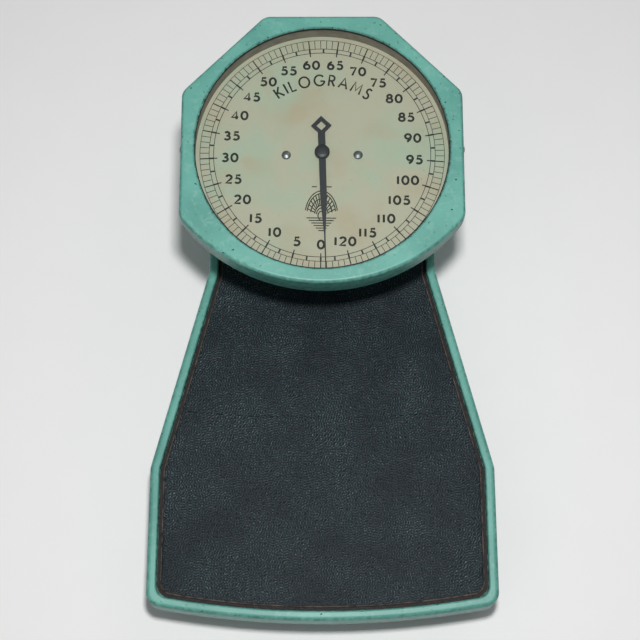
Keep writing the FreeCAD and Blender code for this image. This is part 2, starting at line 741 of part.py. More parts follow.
def fulcrum_stand(name, spread, along, level, slope, side):
    """Post on the pan with a notch in which a lever's fulcrum pin rocks."""
    inner = spread + beside_arm(slope)
    left = inner if side > 0 else -inner - dim("stand_width")
    post = box(name + "_post", left, left + dim("stand_width"),
               along - dim("stand_length") / 2, along + dim("stand_length") / 2,
               PAN_FLOOR_Z, level + dim("pin_radius") / 2)
    notch = cylinder(name + "_notch", dim("pin_radius") + dim("play"),
                     dim("stand_width") + 2, left - 1, along, level, Vector(0, 1, 0), 90)
    return cut(name, post, notch)


for label, spread, along, level, slope in (
        ("front_fulcrum_stands", LONG_SPREAD, LONG_FULCRUM_Y, dim("long_level"),
         LONG_SLOPE),
        ("rear_fulcrum_stands", SHORT_SPREAD, SHORT_FULCRUM_Y, dim("short_level"),
         SHORT_SLOPE)):
    posts = both_sides(lambda side: fulcrum_stand(
        f"{label}_{'left' if side < 0 else 'right'}", spread, along, level, slope, side))
    register(group(label, posts), label)


# ---------------------------------------------------------------- pedestal
def in_head_frame(shape):
    """A copy of a shape of the head, carried to where the head stands."""
    moved = shape.copy()
    moved.Placement = Placement(Vector(0, float(HEAD_Y), float(dim("face_height"))),
                                Rotation(Vector(1, 0, 0), float(TILT)))
    return moved


def pedestal_top_front():
    """Up the dial from its centre to where the pedestal's upright front meets the case."""
    return (PEDESTAL_FRONT_Y - HEAD_Y - dim("case_depth") * sine(TILT)) / cosine(TILT)


def pedestal_loft(inset, below, above):
    """The tapered tower, inset all round, from the pan's rim to the bottom of the case."""
    radius = float(dim("pedestal_corner")) - inset
    half = float(PAN_NECK_HALF)
    front = float(PEDESTAL_FRONT_Y)
    rear = float(PAN_REAR_Y)
    foot = rounded_rectangle(half - inset, front + inset, rear - inset, radius,
                             float(PAN_TOP_Z))
    crown = in_head_frame(rounded_rectangle(
        float(dim("pedestal_top_width")) / 2 - inset, float(pedestal_top_front()) + inset,
        float(dim("pedestal_top_back")) - inset, radius, float(CASE_BOTTOM_Z)))
    solid_wanted, ruled_wanted = True, True
    tower = Part.makeLoft([foot, crown], solid_wanted, ruled_wanted)
    if below:
        tower = tower.fuse(prism(foot.copy().translated(Vector(0, 0, -foot.BoundBox.ZMin)),
                                 float(PAN_TOP_Z) - below, float(PAN_TOP_Z)))
    if above:
        lid = Part.Face(crown).extrude(
            crown.Placement.Rotation.multVec(Vector(0, 0, above)))
        tower = tower.fuse(lid)
    return tower


def make_pedestal():
    """Hollow tower with flanges at both ends, a lever window and a slot for the wheel."""
    wall = float(WALL)
    tower = pedestal_loft(0, 0, 0).cut(pedestal_loft(wall, 1, 1))
    foot_flange = flange_ring(float(PAN_TOP_Z), float(PAN_TOP_Z) + wall)
    foot_flange = foot_flange.common(pedestal_loft(wall / 2, 0, 0))
    width = float(dim("pedestal_top_width")) / 2
    strip = float(dim("flange_width"))
    flanges = []
    for side in (-1, 1):
        middle = side * (width - wall / 2 - strip / 2)
        front = float(pedestal_top_front()) + wall / 2
        length = float(dim("pedestal_top_back")) - wall / 2 - front
        plate = Part.makeBox(strip, length, wall,
                             Vector(middle - strip / 2, front, float(CASE_BOTTOM_Z) - wall))
        flanges.append(in_head_frame(plate).common(pedestal_loft(wall / 2, 0, 0)))
    tower = tower.fuse([foot_flange] + flanges).removeSplitter()
    window = float(dim("lever_window"))
    opening = Part.makeBox(window, 10 * wall, float(dim("bar_height")) + 6 * wall,
                           Vector(-window / 2, float(PEDESTAL_FRONT_Y) - wall,
                                  float(PAN_TOP_Z) - wall))
    reach = float(dim("wheel_radius") + dim("play") * 4)
    slot = Part.makeCylinder(reach, float(dim("wheel_thickness") + dim("play") * 8),
                             Vector(0, float(WHEEL_Y), float(WHEEL_LEVEL_Z
                                                             - dim("play") * 4)))
    return tower.cut(opening).cut(slot)


def case_screw_spots():
    """The four screws, in the head's frame, that hold the case on the pedestal."""
    across = dim("pedestal_top_width") / 2 - WALL - dim("flange_width") / 2
    front = pedestal_top_front() + dim("flange_width") * 1.5
    rear = dim("pedestal_top_back") - dim("flange_width") * 1.5
    return [(across * side, along) for side in (-1, 1) for along in (front, rear)]


case_screws = screws("case_screws", case_screw_spots(), CASE_FLOOR_Z, dim("screw_head") * 1.2)
register(case_screws, "case_screws", in_head=True)
pedestal_fixings = group("pedestal_fixings", [pedestal_screws, case_screws])
register(cut("pedestal_housing", feature("pedestal_blank", make_pedestal()),
             pedestal_fixings), "pedestal_housing")

# ---------------------------------------------------------------- head: case and bezel
def make_bezel():
    """Pressed cover: flat face, round edge, side wall and a bevelled window."""
    wall = float(WALL)
    depth = float(dim("bezel_skirt"))
    cover = head_prism(0, -depth, 0)
    cover = cover.makeFillet(float(dim("bezel_round")), edges_where(cover, at_level(0)))
    inside = head_prism(wall, -depth - 1, -wall)
    inside = inside.makeFillet(float(dim("bezel_round")) - wall,
                               edges_where(inside, at_level(-wall)))
    bevel = float(dim("window_bevel"))
    radius = float(dim("window_radius"))
    window = Part.makeCylinder(radius, depth + 2, Vector(0, 0, -depth))
    chamfer = Part.makeCone(radius, radius + bevel + 1, bevel + 1, Vector(0, 0, -bevel))
    return cover.cut(inside).cut(window).cut(chamfer)


def make_dial_case():
    """Pan behind the dial, with the slot through which the rack is driven."""
    wall = float(WALL)
    inset = wall + float(dim("case_gap"))
    top = -float(dim("case_top"))
    low = float(CASE_BOTTOM_Z)
    shell = head_prism(inset, low, top)
    shell = shell.makeFillet(float(dim("case_round")), edges_where(shell, at_level(low)))
    hollow = head_prism(inset + wall, low + wall, top + 1)
    hollow = hollow.makeFillet(float(dim("case_round")) - wall,
                               edges_where(hollow, at_level(low + wall)))
    play = float(dim("play"))
    travel = float(PITCH_RADIUS) * math.radians(float(dim("dial_sweep")))
    tab = float(dim("rack_height"))
    slot_left = -float(dim("rack_back")) - 2 * play
    slot_right = -float(PITCH_RADIUS) + play
    slot_low = -float(dim("rack_pin_place")) - tab
    slot = Part.makeBox(slot_right - slot_left, travel + 2 * tab, 3 * wall,
                        Vector(slot_left, slot_low, low - wall))
    return shell.cut(hollow).cut(slot)


def bezel_screws_group():
    """Four small screws through the bezel's wall, in the flats that face up and sideways."""
    pieces = []
    depth = dim("bezel_skirt") * 0.65
    small = dim("dial_screw_shank")
    for number, angle in enumerate((0, 45, 135, 180)):
        profile = [(ZERO, -WALL * 4), (small, -WALL * 4), (small, ZERO),
                   (small * 2.2, ZERO), (small * 1.8, small * 0.7), (small, small),
                   (ZERO, small)]
        name = f"bezel_screw_{number}"
        body = revolve(name, profile)
        turn = Rotation(Vector(0, 0, 1), angle) * Rotation(Vector(0, 1, 0), 90)
        reach = dim("head_apothem")
        put(body, reach * math.cos(math.radians(angle)), reach * math.sin(math.radians(angle)),
            -depth)
        body.Placement = Placement(body.Placement.Base, turn)
        pieces.append(body)
    return group("bezel_screws", pieces)


bezel_screws = bezel_screws_group()
register(bezel_screws, "bezel_screws", in_head=True)
case_fixings = group("case_fixings", case_screws.Links + bezel_screws.Links)
register(cut("bezel", feature("bezel_blank", make_bezel()),
             group("bezel_fixings", bezel_screws.Links)), "bezel", in_head=True)

# ---------------------------------------------------------------- head: window and dial
PILLAR_SPOTS = [(dim("dial_screw_place") * side, -dim("dial_screw_drop")) for side in (-1, 1)]


def ring(label, inner, outer, bottom, top):
    """A flat ring round the dial's centre."""
    return register(extrude(label, [circle(ZERO, ZERO, outer), circle(ZERO, ZERO, inner)],
                            bottom, top - bottom), label, in_head=True)


register(extrude("dial_glass", [circle(ZERO, ZERO, GLASS_RADIUS)], GLASS_BOTTOM_Z,
                 dim("glass_thickness")), "dial_glass", in_head=True)
ring("glass_gasket", GLASS_RADIUS - dim("ring_width"), GLASS_RADIUS, GASKET_BOTTOM_Z,
     GLASS_BOTTOM_Z)
ring("spacer_ring", GLASS_RADIUS - dim("ring_width"), GLASS_RADIUS, DIAL_TOP_Z,
     GASKET_BOTTOM_Z)

dial_holes = [circle(ZERO, ZERO, dim("dial_hole"))] + [
    circle(across, along, dim("dial_screw_shank")) for across, along in PILLAR_SPOTS]
register(extrude("dial_plate", [circle(ZERO, ZERO, GLASS_RADIUS)] + dial_holes,
                 DIAL_BOTTOM_Z, dim("dial_thickness")), "dial_plate", in_head=True)


def dial_screw(name, across, along):
    """Round-headed screw that holds the dial on its pillar."""
    head = dim("dial_screw_head")
    rise = dim("dial_screw_rise")
    shank = dim("dial_screw_shank")
    length = dim("dial_thickness") + dim("bridge_drop") * 2
    profile = [(ZERO, -length), (shank, -length), (shank, ZERO), (head, ZERO),
               (head * 0.94, rise * 0.34), (head * 0.77, rise * 0.64),
               (head * 0.5, rise * 0.87), (head * 0.2, rise * 0.98), (ZERO, rise)]
    return put(revolve(name, profile), across, along, DIAL_TOP_Z)


dial_screw_pieces = [dial_screw(f"dial_screw_{number}", across, along)
                     for number, (across, along) in enumerate(PILLAR_SPOTS)]
dial_screws = register(group("dial_screws", dial_screw_pieces), "dial_screws", in_head=True)


def pillar(name, across, along):
    """Pillar from the case's floor through the bridge to the dial."""
    base, neck = dim("pillar_radius"), dim("pillar_neck")
    profile = [(ZERO, CASE_FLOOR_Z), (base, CASE_FLOOR_Z), (base, BRIDGE_BOTTOM_Z),
               (neck, BRIDGE_BOTTOM_Z), (neck, DIAL_BOTTOM_Z), (ZERO, DIAL_BOTTOM_Z)]
    return put(revolve(name, profile), across, along, ZERO)


pillar_pieces = [pillar(f"pillar_{number}", across, along)
                 for number, (across, along) in enumerate(PILLAR_SPOTS)]
pillars = cut("pillars_tapped", group("pillars_blank", pillar_pieces),
              group("dial_screw_tools", dial_screw_pieces))
register(pillars, "bridge_pillars", in_head=True)

half_length = dim("bridge_length") / 2
half_width = dim("bridge_width") / 2
bridge_outline = [rectangle(-half_length, -half_width, half_length, half_width),
                  circle(ZERO, ZERO, dim("bush_radius"))]
bridge_outline += [circle(across, along, dim("pillar_neck")) for across, along in PILLAR_SPOTS]
register(extrude("movement_bridge", bridge_outline, BRIDGE_BOTTOM_Z,
                 dim("bridge_thickness")), "movement_bridge", in_head=True)


def bush(name, plate_bottom, plate_thickness):
    """Flanged brass bush: its barrel fills the plate and its collar lies under it."""
    bore = dim("arbor_radius") + dim("running_clearance")
    barrel, collar = dim("bush_radius"), dim("bush_collar")
    low = plate_bottom - dim("dial_thickness")
    top = plate_bottom + plate_thickness
    return revolve(name, [(bore, low), (collar, low), (collar, plate_bottom),
                          (barrel, plate_bottom), (barrel, top), (bore, top)])


bushes = [bush("upper_bush", BRIDGE_BOTTOM_Z, dim("bridge_thickness")),
          bush("lower_bush", CASE_BOTTOM_Z, WALL)]
register(group("arbor_bushes", bushes), "arbor_bushes", in_head=True)

case_tool = group("case_tool", [case_fixings, cylinder(
    "lower_bush_hole", dim("bush_radius"), WALL * 3, ZERO, ZERO, CASE_BOTTOM_Z - WALL)])
register(cut("dial_case", feature("dial_case_blank", make_dial_case()), case_tool),
         "dial_case", in_head=True)

# ---------------------------------------------------------------- head: pinion and rack
PRESSURE_ANGLE = math.radians(20)
ADDENDUM = 1.0
DEDENDUM = 1.25


def pinion_tooth_points():
    """One involute tooth, as (radius, angle) pairs from its left root to its right root."""
    module = float(dim("tooth_module"))
    teeth = float(dim("pinion_teeth"))
    pitch = module * teeth / 2
    base = pitch * math.cos(PRESSURE_ANGLE)
    root = pitch - DEDENDUM * module
    tip = pitch + ADDENDUM * module

    def involute(radius):
        slope = math.acos(min(1, base / radius))
        return math.tan(slope) - slope

    half_tooth = math.pi / (2 * teeth) - float(dim("backlash")) / (2 * pitch)
    at_pitch = involute(pitch)
    steps = 5
    start = max(base, root)
    flank = []
    for step in range(steps + 1):
        radius = start + (tip - start) * step / steps
        flank.append((radius, half_tooth + at_pitch - involute(radius)))
    left = [(root, -flank[0][1])] + [(radius, -angle) for radius, angle in flank]
    right = [(radius, angle) for radius, angle in reversed(flank)] + [(root, flank[0][1])]
    return left + right


def make_pinion_arbor():
    """Arbor and pinion in one piece, a tooth space facing the rack."""
    teeth = int(float(dim("pinion_teeth")))
    start = math.pi + math.pi / teeth
    points = []
    for number in range(teeth):
        middle = start + 2 * math.pi * number / teeth
        for radius, angle in pinion_tooth_points():
            points.append(Vector(radius * math.cos(middle + angle),
                                 radius * math.sin(middle + angle), 0))
    points.append(points[0])
    low = float(RACK_BOTTOM_Z)
    gear = prism(Part.makePolygon(points), low, low + float(dim("pinion_face")))
    bottom = float(CASE_BOTTOM_Z - dim("dial_thickness"))
    shaft = Part.makeCylinder(float(dim("arbor_radius")), float(POINTER_Z) - bottom,
                              Vector(0, 0, bottom))
    return gear.fuse(shaft).removeSplitter()


def make_rack():
    """Toothed bar, its tab and the pin by which the bell crank drives it."""
    module = float(dim("tooth_module"))
    pitch_line = -float(PITCH_RADIUS)
    back = -float(dim("rack_back"))
    play = float(dim("backlash"))
    root = pitch_line - DEDENDUM * module
    tip = pitch_line + ADDENDUM * module
    step = math.pi * module
    count = int(float(dim("rack_teeth")))
    half_pitch = step / 4
    slope = math.tan(PRESSURE_ANGLE)
    half_root = half_pitch + DEDENDUM * module * slope
    half_tip = half_pitch - ADDENDUM * module * slope
    above = 3
    highest = above * step
    points = [Vector(back, highest + step / 2, 0)]
    for number in range(count):
        middle = highest - number * step
        points += [Vector(root, middle + half_root, 0), Vector(tip, middle + half_tip, 0),
                   Vector(tip, middle - half_tip, 0), Vector(root, middle - half_root, 0)]
    points += [Vector(back, highest - count * step + step / 2, 0)]
    points.append(points[0])
    low = float(RACK_BOTTOM_Z)
    bar = prism(Part.makePolygon(points), low, low + float(dim("rack_height"))
                - 4 * play)
    pin_level = float(CASE_BOTTOM_Z - dim("rack_pin_drop"))
    place = -float(dim("rack_pin_place"))
    radius = float(dim("arbor_radius"))
    tab_width = float(dim("rack_height")) / 2
    tab_thickness = float(dim("draw_thickness")) - 2 * float(dim("play"))
    tab = Part.makeBox(tab_thickness, 2 * tab_width, low - pin_level + tab_width,
                       Vector(back, place - tab_width, pin_level - tab_width))
    pin = Part.makeCylinder(radius, tab_thickness + float(dim("crank_thickness"))
                            + 4 * float(dim("play")),
                            Vector(back, place, pin_level), Vector(1, 0, 0))
    return bar.fuse([tab, pin]).removeSplitter()


register(feature("pinion_arbor", make_pinion_arbor()), "pinion_arbor", in_head=True)
register(feature("rack", make_rack()), "rack", in_head=True)

guide_left = -dim("rack_back") - dim("play") - WALL * 3
guide_right = -dim("rack_back") - dim("play")
guide_top = RACK_BOTTOM_Z + dim("rack_height")
guide_half = dim("bridge_width") / 4
guide_wall = box("rack_guide_wall", guide_left, guide_right, -guide_half, guide_half,
                 CASE_FLOOR_Z, guide_top + WALL)
guide_lip = box("rack_guide_lip", guide_left, guide_right + WALL * 3, -guide_half, guide_half,
                guide_top, guide_top + WALL)
register(fuse("rack_guide", [guide_wall, guide_lip]), "rack_guide", in_head=True)

# ---------------------------------------------------------------- head: pointer
def make_pointer():
    """Tapered pointer with an open diamond on its tail, pointing down the dial."""
    low = float(POINTER_Z)
    thickness = float(dim("pointer_thickness"))
    reach = float(dim("pointer_reach"))
    cap = float(dim("cap_radius"))
    half_bar, half_waist, half_tip = cap * 0.46, cap * 0.43, cap * 0.095
    waist, shoulder = reach * 0.4, reach * 0.71
    half_stem = cap * 0.48
    diamond, half_diamond, hole = cap * 3.7, cap * 1.35, cap * 0.69
    tail_join = diamond - half_diamond + half_stem
    aside, ahead = float(sine(dim("pointer_lead"))), float(cosine(dim("pointer_lead")))

    def turned(corners):
        """Carry corners from the middle of the dial to the idle pointer's place."""
        placed = [Vector(across * ahead - along * aside, across * aside + along * ahead, 0)
                  for across, along in corners]
        return Part.makePolygon(placed + placed[:1])

    right = [(half_stem, tail_join), (half_stem, 0), (half_bar, 0), (half_waist, -waist),
             (half_tip, -shoulder), (half_tip * 0.8, -reach)]
    left = [(-across, along) for across, along in reversed(right)]
    top = [(-half_diamond, diamond), (0, diamond + half_diamond), (half_diamond, diamond)]
    blade = prism(turned(right + left + top), low, low + thickness)
    inner = [(0, diamond + hole), (hole, diamond), (0, diamond - hole), (-hole, diamond)]
    window = prism(turned(inner), low - 1, low + thickness + 1)
    hub = Part.makeCylinder(cap, thickness, Vector(0, 0, low))
    return blade.cut(window).fuse(hub).removeSplitter()


register(feature("pointer", make_pointer()), "pointer", in_head=True)
cap = dim("cap_radius")
cap_bottom = POINTER_Z + dim("pointer_thickness")
cap_profile = [(ZERO, cap_bottom), (cap, cap_bottom), (cap * 0.97, cap_bottom + cap * 0.12),
               (cap * 0.82, cap_bottom + cap * 0.24), (cap * 0.5, cap_bottom + cap * 0.33),
               (ZERO, cap_bottom + cap * 0.36)]
register(revolve("pointer_cap", cap_profile), "pointer_cap", in_head=True)

# ---------------------------------------------------------------- levers
def lever_pins(label, spread, load_x, fulcrum_y, load_y, level):
    """Two fulcrum pins and two load pins, through the lever's arms, as one node."""
    pieces = []
    for name, middle, along in (("fulcrum", spread, fulcrum_y), ("load", load_x, load_y)):
        for side in (-1, 1):
            pin_name = f"{label}_{name}_{'left' if side < 0 else 'right'}"
            pieces.append(cylinder(pin_name, dim("pin_radius"), dim("pin_length"),
                                   pin_across(middle, side), along, level,
                                   Vector(0, 1, 0), 90))
    return pieces


def lever_plate(label, spread, far_y, near_y, level, across_at, windows, end_half):
    """A V-shaped lever plate: wide at its fulcrums, narrow at its nose."""
    half = dim("bar_width") / 2
    way = 1 if float(far_y) > float(near_y) else -1
    tail = near_y - half * way
    nose = far_y + half * way
    outline = [(-spread - half, tail), (spread + half, tail),
               (spread + half, near_y + half * way), (end_half, far_y - dim("bar_width") * way),
               (end_half, nose), (-end_half, nose), (-end_half, far_y - dim("bar_width") * way),
               (-spread - half, near_y + half * way)]
    body = new_body(label + "_plate")
    sketch = new_sketch(body, "XY_Plane", level - dim("bar_height") / 2)
    draw_polygon(sketch, outline)
    for start, end in windows:
        inner_start = across_at(start) - half
        inner_end = across_at(end) - half
        draw_polygon(sketch, [(-inner_start, start), (inner_start, start),
                              (inner_end, end), (-inner_end, end)])
    pad(body, sketch, dim("bar_height"))
    return body


BAR = dim("bar_width") / 2
long_windows = [(LONG_FULCRUM_Y + BAR, LINK_Y - BAR),
                (LINK_Y + BAR, NOSE_Y - dim("bar_width") * 6)]
long_plate = lever_plate("long_lever", LONG_SPREAD, NOSE_Y, LONG_FULCRUM_Y,
                         dim("long_level"), arm_across, long_windows,
                         dim("nose_width") / 2)
long_pins = group("long_lever_pins", lever_pins(
    "long", LONG_SPREAD, LONG_LOAD_X, LONG_FULCRUM_Y, LONG_LOAD_Y, dim("long_level")))
register(long_pins, "long_lever_pins")
register(cut("long_lever", long_plate, long_pins), "long_lever")

short_windows = [(SHORT_FULCRUM_Y - BAR, LINK_Y + dim("bar_width") * 4)]
short_plate = lever_plate("short_lever", SHORT_SPREAD, LINK_Y, SHORT_FULCRUM_Y,
                          dim("short_level"), short_arm_across, short_windows,
                          dim("bar_width") * 0.75)
link_pin_length = dim("bar_width") * 1.5
short_pin_pieces = lever_pins("short", SHORT_SPREAD, SHORT_LOAD_X, SHORT_FULCRUM_Y,
                              SHORT_LOAD_Y, dim("short_level"))
short_pin_pieces.append(cylinder("link_pin", dim("pin_radius"), link_pin_length,
                                 -link_pin_length / 2, LINK_Y, dim("short_level"),
                                 Vector(0, 1, 0), 90))
short_pins = group("short_lever_pins", short_pin_pieces)
register(short_pins, "short_lever_pins")
fork = dim("link_thickness") / 2 + dim("play") * 2
fork_slot = box("short_lever_slot", -fork, fork, LINK_Y - dim("bar_width"),
                LINK_Y + dim("bar_width"), dim("short_level") - dim("bar_height"),
                dim("short_level") + dim("bar_height"))
register(cut("short_lever", short_plate, group("short_lever_cuts", [short_pins, fork_slot])),
         "short_lever")

# the stirrup hangs over the long lever's cross bar and holds the short lever's pin
link_half = BAR + dim("play") * 2
link_low = dim("short_level") - dim("pin_radius") - dim("play")
link_high = dim("long_level") + dim("bar_height") / 2 + dim("play")
link_outline = [
    rectangle(LINK_Y - link_half - dim("link_thickness"), link_low - dim("link_thickness"),
              LINK_Y + link_half + dim("link_thickness"), link_high + dim("link_thickness")),
    rectangle(LINK_Y - link_half, link_low, LINK_Y + link_half, link_high)]
register(extrude("lever_link", link_outline, -dim("link_thickness") / 2,
                 dim("link_thickness"), "YZ_Plane"), "lever_link")

# ---------------------------------------------------------------- draw plate and springs
stirrup_half = dim("nose_width") / 2 + dim("play") * 5
stirrup_low = dim("long_level") - dim("bar_height") / 2 - dim("play")
stirrup_high = dim("long_level") + dim("bar_height") / 2 + dim("play") * 5
plate_wall = dim("link_thickness")
bar_low = dim("draw_bar_level") - dim("stiffener_depth") * 2
bar_half = dim("spring_spread") + dim("spring_radius") + plate_wall
tongue_half = plate_wall / 2
eye_level = CRANK_LEVEL_Z + dim("crank_ahead") * sine(dim("crank_swing") / 2)
draw_outline = [
    (-stirrup_half - plate_wall, stirrup_low - plate_wall),
    (stirrup_half + plate_wall, stirrup_low - plate_wall),
    (stirrup_half + plate_wall, bar_low), (bar_half, bar_low),
    (bar_half, dim("draw_bar_level")), (tongue_half, dim("draw_bar_level")),
    (tongue_half, eye_level + plate_wall), (-tongue_half, eye_level + plate_wall),
    (-tongue_half, dim("draw_bar_level")), (-bar_half, dim("draw_bar_level")),
    (-bar_half, bar_low), (-stirrup_half - plate_wall, bar_low)]
draw_body = extrude("draw_plate_blank", [
    polygon(draw_outline),
    rectangle(-stirrup_half, stirrup_low, stirrup_half, stirrup_high)],
    -NOSE_Y - dim("draw_thickness") / 2, dim("draw_thickness"), "XZ_Plane")
drive_pin_length = dim("crank_thickness") * 3
drive_pin = cylinder("draw_pin", dim("arbor_radius"), drive_pin_length, ZERO - tongue_half,
                     NOSE_Y, eye_level, Vector(0, 1, 0), 90)
register(fuse("draw_plate", [draw_body, drive_pin]), "draw_plate")


def make_main_springs():
    """Two coil springs between the draw plate's cross bar and the anchor."""
    wire = float(dim("spring_wire"))
    radius = float(dim("spring_radius"))
    low = float(dim("draw_bar_level") + dim("play")) + wire
    high = float(ANCHOR_LEVEL_Z - dim("play")) - wire
    pitch = (high - low) / float(dim("spring_turns"))
    springs = []
    for side in (-1, 1):
        helix = Part.makeHelix(pitch, high - low, radius)
        section = Part.Wire(Part.makeCircle(wire, Vector(radius, 0, 0), Vector(0, 1, 0)))
        make_solid, frenet = True, True
        coil = helix.makePipeShell([section], make_solid, frenet)
        coil = Part.makeSolid(coil) if coil.ShapeType != "Solid" else coil
        coil.translate(Vector(side * float(dim("spring_spread")), float(NOSE_Y), low))
        springs.append(coil)
    return Part.makeCompound(springs)


register(feature("main_springs", make_main_springs()), "main_springs")

# ---------------------------------------------------------------- bell crank
def make_bell_crank():
    """Hub, a short slotted arm to the draw plate and a long forked arm to the rack."""
    swing = math.radians(float(dim("crank_swing")) / 2)
    hub_radius = float(dim("crank_hub"))
    bore = float(dim("crank_pin") + dim("running_clearance"))
    thickness = float(dim("crank_thickness"))
    play = float(dim("play"))
    drive = float(dim("arbor_radius"))
    tab = float(dim("draw_thickness")) - 2 * play
    long_left = -float(dim("rack_back")) + tab + play
    short_left = float(tongue_half) + 2 * play
    hub = Part.makeCylinder(hub_radius, short_left + thickness - long_left,
                            Vector(long_left, 0, 0), Vector(1, 0, 0))
    half_arm = hub_radius * 0.8
    slot_half = drive + 1.5 * play
    short_reach = float(dim("crank_ahead")) + hub_radius
    short_arm = Part.makeBox(thickness, short_reach, 2 * half_arm,
                             Vector(short_left, 0, -half_arm))
    short_slot = Part.makeBox(3 * thickness, 2 * hub_radius, 2 * slot_half,
                              Vector(short_left - thickness, short_reach - 2 * hub_radius,
                                     -slot_half))
    reach = float(dim("crank_reach"))
    long_arm = Part.makeBox(thickness, 2 * half_arm, reach, Vector(long_left, -half_arm, 0))
    fork_half = drive + 2.5 * play
    fork_depth = 2.6 * hub_radius * 0.5
    long_slot = Part.makeBox(3 * thickness, 2 * fork_half, 2 * fork_depth,
                             Vector(long_left - thickness, -fork_half, reach - fork_depth))
    short_arm = short_arm.cut(short_slot)
    long_arm = long_arm.cut(long_slot)
    origin, across = Vector(0, 0, 0), Vector(1, 0, 0)
    crank = hub.fuse([short_arm, long_arm])
    crank.rotate(origin, across, math.degrees(swing))
    hole = Part.makeCylinder(bore, 4 * float(dim("rack_back")),
                             Vector(-2 * float(dim("rack_back")), 0, 0), across)
    crank = crank.cut(hole).removeSplitter()
    crank.translate(Vector(0, float(CRANK_Y), float(CRANK_LEVEL_Z)))
    return crank


register(feature("bell_crank", make_bell_crank()), "bell_crank")
stand_half = dim("rack_back") + dim("stand_width")
post_width = dim("crank_thickness")
pin_half = stand_half + post_width / 2
crank_pin = cylinder("crank_pin", dim("crank_pin"), pin_half * 2, -pin_half, CRANK_Y,
                     CRANK_LEVEL_Z, Vector(0, 1, 0), 90)
register(crank_pin, "crank_pin")
stand_front = CRANK_Y - dim("stand_length") / 2
stand_back = CRANK_Y + dim("stand_length") / 2
stand_parts = [box("crank_stand_foot", -stand_half, stand_half, stand_front, stand_back,
                   PAN_FLOOR_Z, PAN_FLOOR_Z + WALL * 2)]
for side, start in (("left", -stand_half), ("right", stand_half - post_width)):
    stand_parts.append(box(f"crank_stand_{side}", start, start + post_width, stand_front,
                           stand_back, PAN_FLOOR_Z, CRANK_LEVEL_Z + dim("crank_hub")))
register(cut("crank_stand", fuse("crank_stand_blank", stand_parts), crank_pin), "crank_stand")

# ---------------------------------------------------------------- zero adjuster
anchor_half = bar_half
anchor_outline = [(-anchor_half, NOSE_Y - BAR), (anchor_half, NOSE_Y - BAR),
                  (anchor_half, NOSE_Y + BAR), (BAR * 2, NOSE_Y + BAR),
                  (BAR * 2, WHEEL_Y + BAR * 2), (-BAR * 2, WHEEL_Y + BAR * 2),
                  (-BAR * 2, NOSE_Y + BAR), (-anchor_half, NOSE_Y + BAR)]
register(extrude("spring_anchor", [
    polygon(anchor_outline),
    circle(ZERO, WHEEL_Y, dim("zero_screw_radius") + dim("running_clearance"))],
    ANCHOR_LEVEL_Z, dim("anchor_thickness")), "spring_anchor")

yoke_low = WHEEL_LEVEL_Z - dim("play") - dim("yoke_plate")
yoke_high = ANCHOR_LEVEL_Z + dim("anchor_thickness") + dim("zero_travel") + dim("play") * 3
post_across = dim("wheel_radius") + dim("pillar_radius") + dim("play") * 5
yoke_half = post_across + dim("pillar_radius")
yoke_front = WHEEL_Y - BAR * 2
yoke_back = WHEEL_Y + BAR * 2


def yoke(name, level):
    """One of the two plates that hold the zero screw."""
    return extrude(name, [rectangle(-yoke_half, yoke_front, yoke_half, yoke_back),
                          circle(ZERO, WHEEL_Y, dim("zero_screw_radius")
                                 + dim("running_clearance"))],
                   level, dim("yoke_plate"))


yoke_posts = both_sides(lambda side: cylinder(
    f"yoke_post_{'left' if side < 0 else 'right'}", dim("pillar_neck"), yoke_high - yoke_low,
    post_across * side, WHEEL_Y, yoke_low))
tower_feet = both_sides(lambda side: cylinder(
    f"yoke_leg_{'left' if side < 0 else 'right'}", dim("pillar_radius"), yoke_low - PAN_FLOOR_Z,
    post_across * side, WHEEL_Y, PAN_FLOOR_Z))
register(fuse("zero_yoke", [yoke("yoke_lower", yoke_low), yoke("yoke_upper", yoke_high)]
              + yoke_posts), "zero_yoke")
register(group("yoke_legs", tower_feet), "yoke_legs")

wheel_blank = extrude("zero_wheel_blank", [
    circle(ZERO, ZERO, dim("wheel_radius")), circle(ZERO, ZERO, dim("zero_screw_radius"))],
    ZERO, dim("wheel_thickness"))
notch_sketch = new_sketch(wheel_blank, "XY_Plane", ZERO)
draw_circle(notch_sketch, dim("wheel_radius") + dim("play"), ZERO, dim("zero_screw_radius") / 3)
notch = pocket(wheel_blank, notch_sketch, dim("wheel_thickness") + 1)
doc.recompute()
notches = wheel_blank.newObject("PartDesign::PolarPattern", "wheel_grips")
notches.Originals = [notch]
notches.Axis = (notch_sketch, ["N_Axis"])
notches.Angle = 360
notches.Occurrences = int(float(dim("wheel_notches")))
wheel_blank.Tip = notches
put(wheel_blank, ZERO, WHEEL_Y, WHEEL_LEVEL_Z)
register(wheel_blank, "zero_wheel")
screw_low = yoke_low - dim("play") * 2
register(cylinder("zero_screw", dim("zero_screw_radius"),
                  yoke_high + dim("yoke_plate") + dim("play") * 2 - screw_low,
                  ZERO, WHEEL_Y, screw_low), "zero_screw")


# ---------------------------------------------------------------- check and write
def check_document():
    """Stop if any object failed, or if a piece's shape is empty or not valid."""
    doc.recompute()
    for item in doc.Objects:
        if {"Invalid", "Error"} & set(item.State):
            raise RuntimeError(f"{item.Name} failed: {item.State}")
    for label, item in nodes.items():
        if item.Shape.isNull() or not item.Shape.isValid() or not item.Shape.Solids:
            raise RuntimeError(f"{label} has no valid solid")


def write_pieces():
    """Write one STEP file for each piece."""
    os.makedirs(OUTPUT_FOLDER, exist_ok=True)
    for label, item in nodes.items():
        item.Shape.exportStep(os.path.join(OUTPUT_FOLDER, label + ".step"))


check_document()
write_pieces()
print(f"{len(nodes)} pieces written")
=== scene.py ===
"""Looks of a mechanical dial platform scale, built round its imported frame.

Units: metres, +Z up, +X to the right, +Y towards the dial head at the back. Pieces of the
dial are drawn flat about the dial's centre and then carried to where the dial lies.
"""
from __future__ import annotations

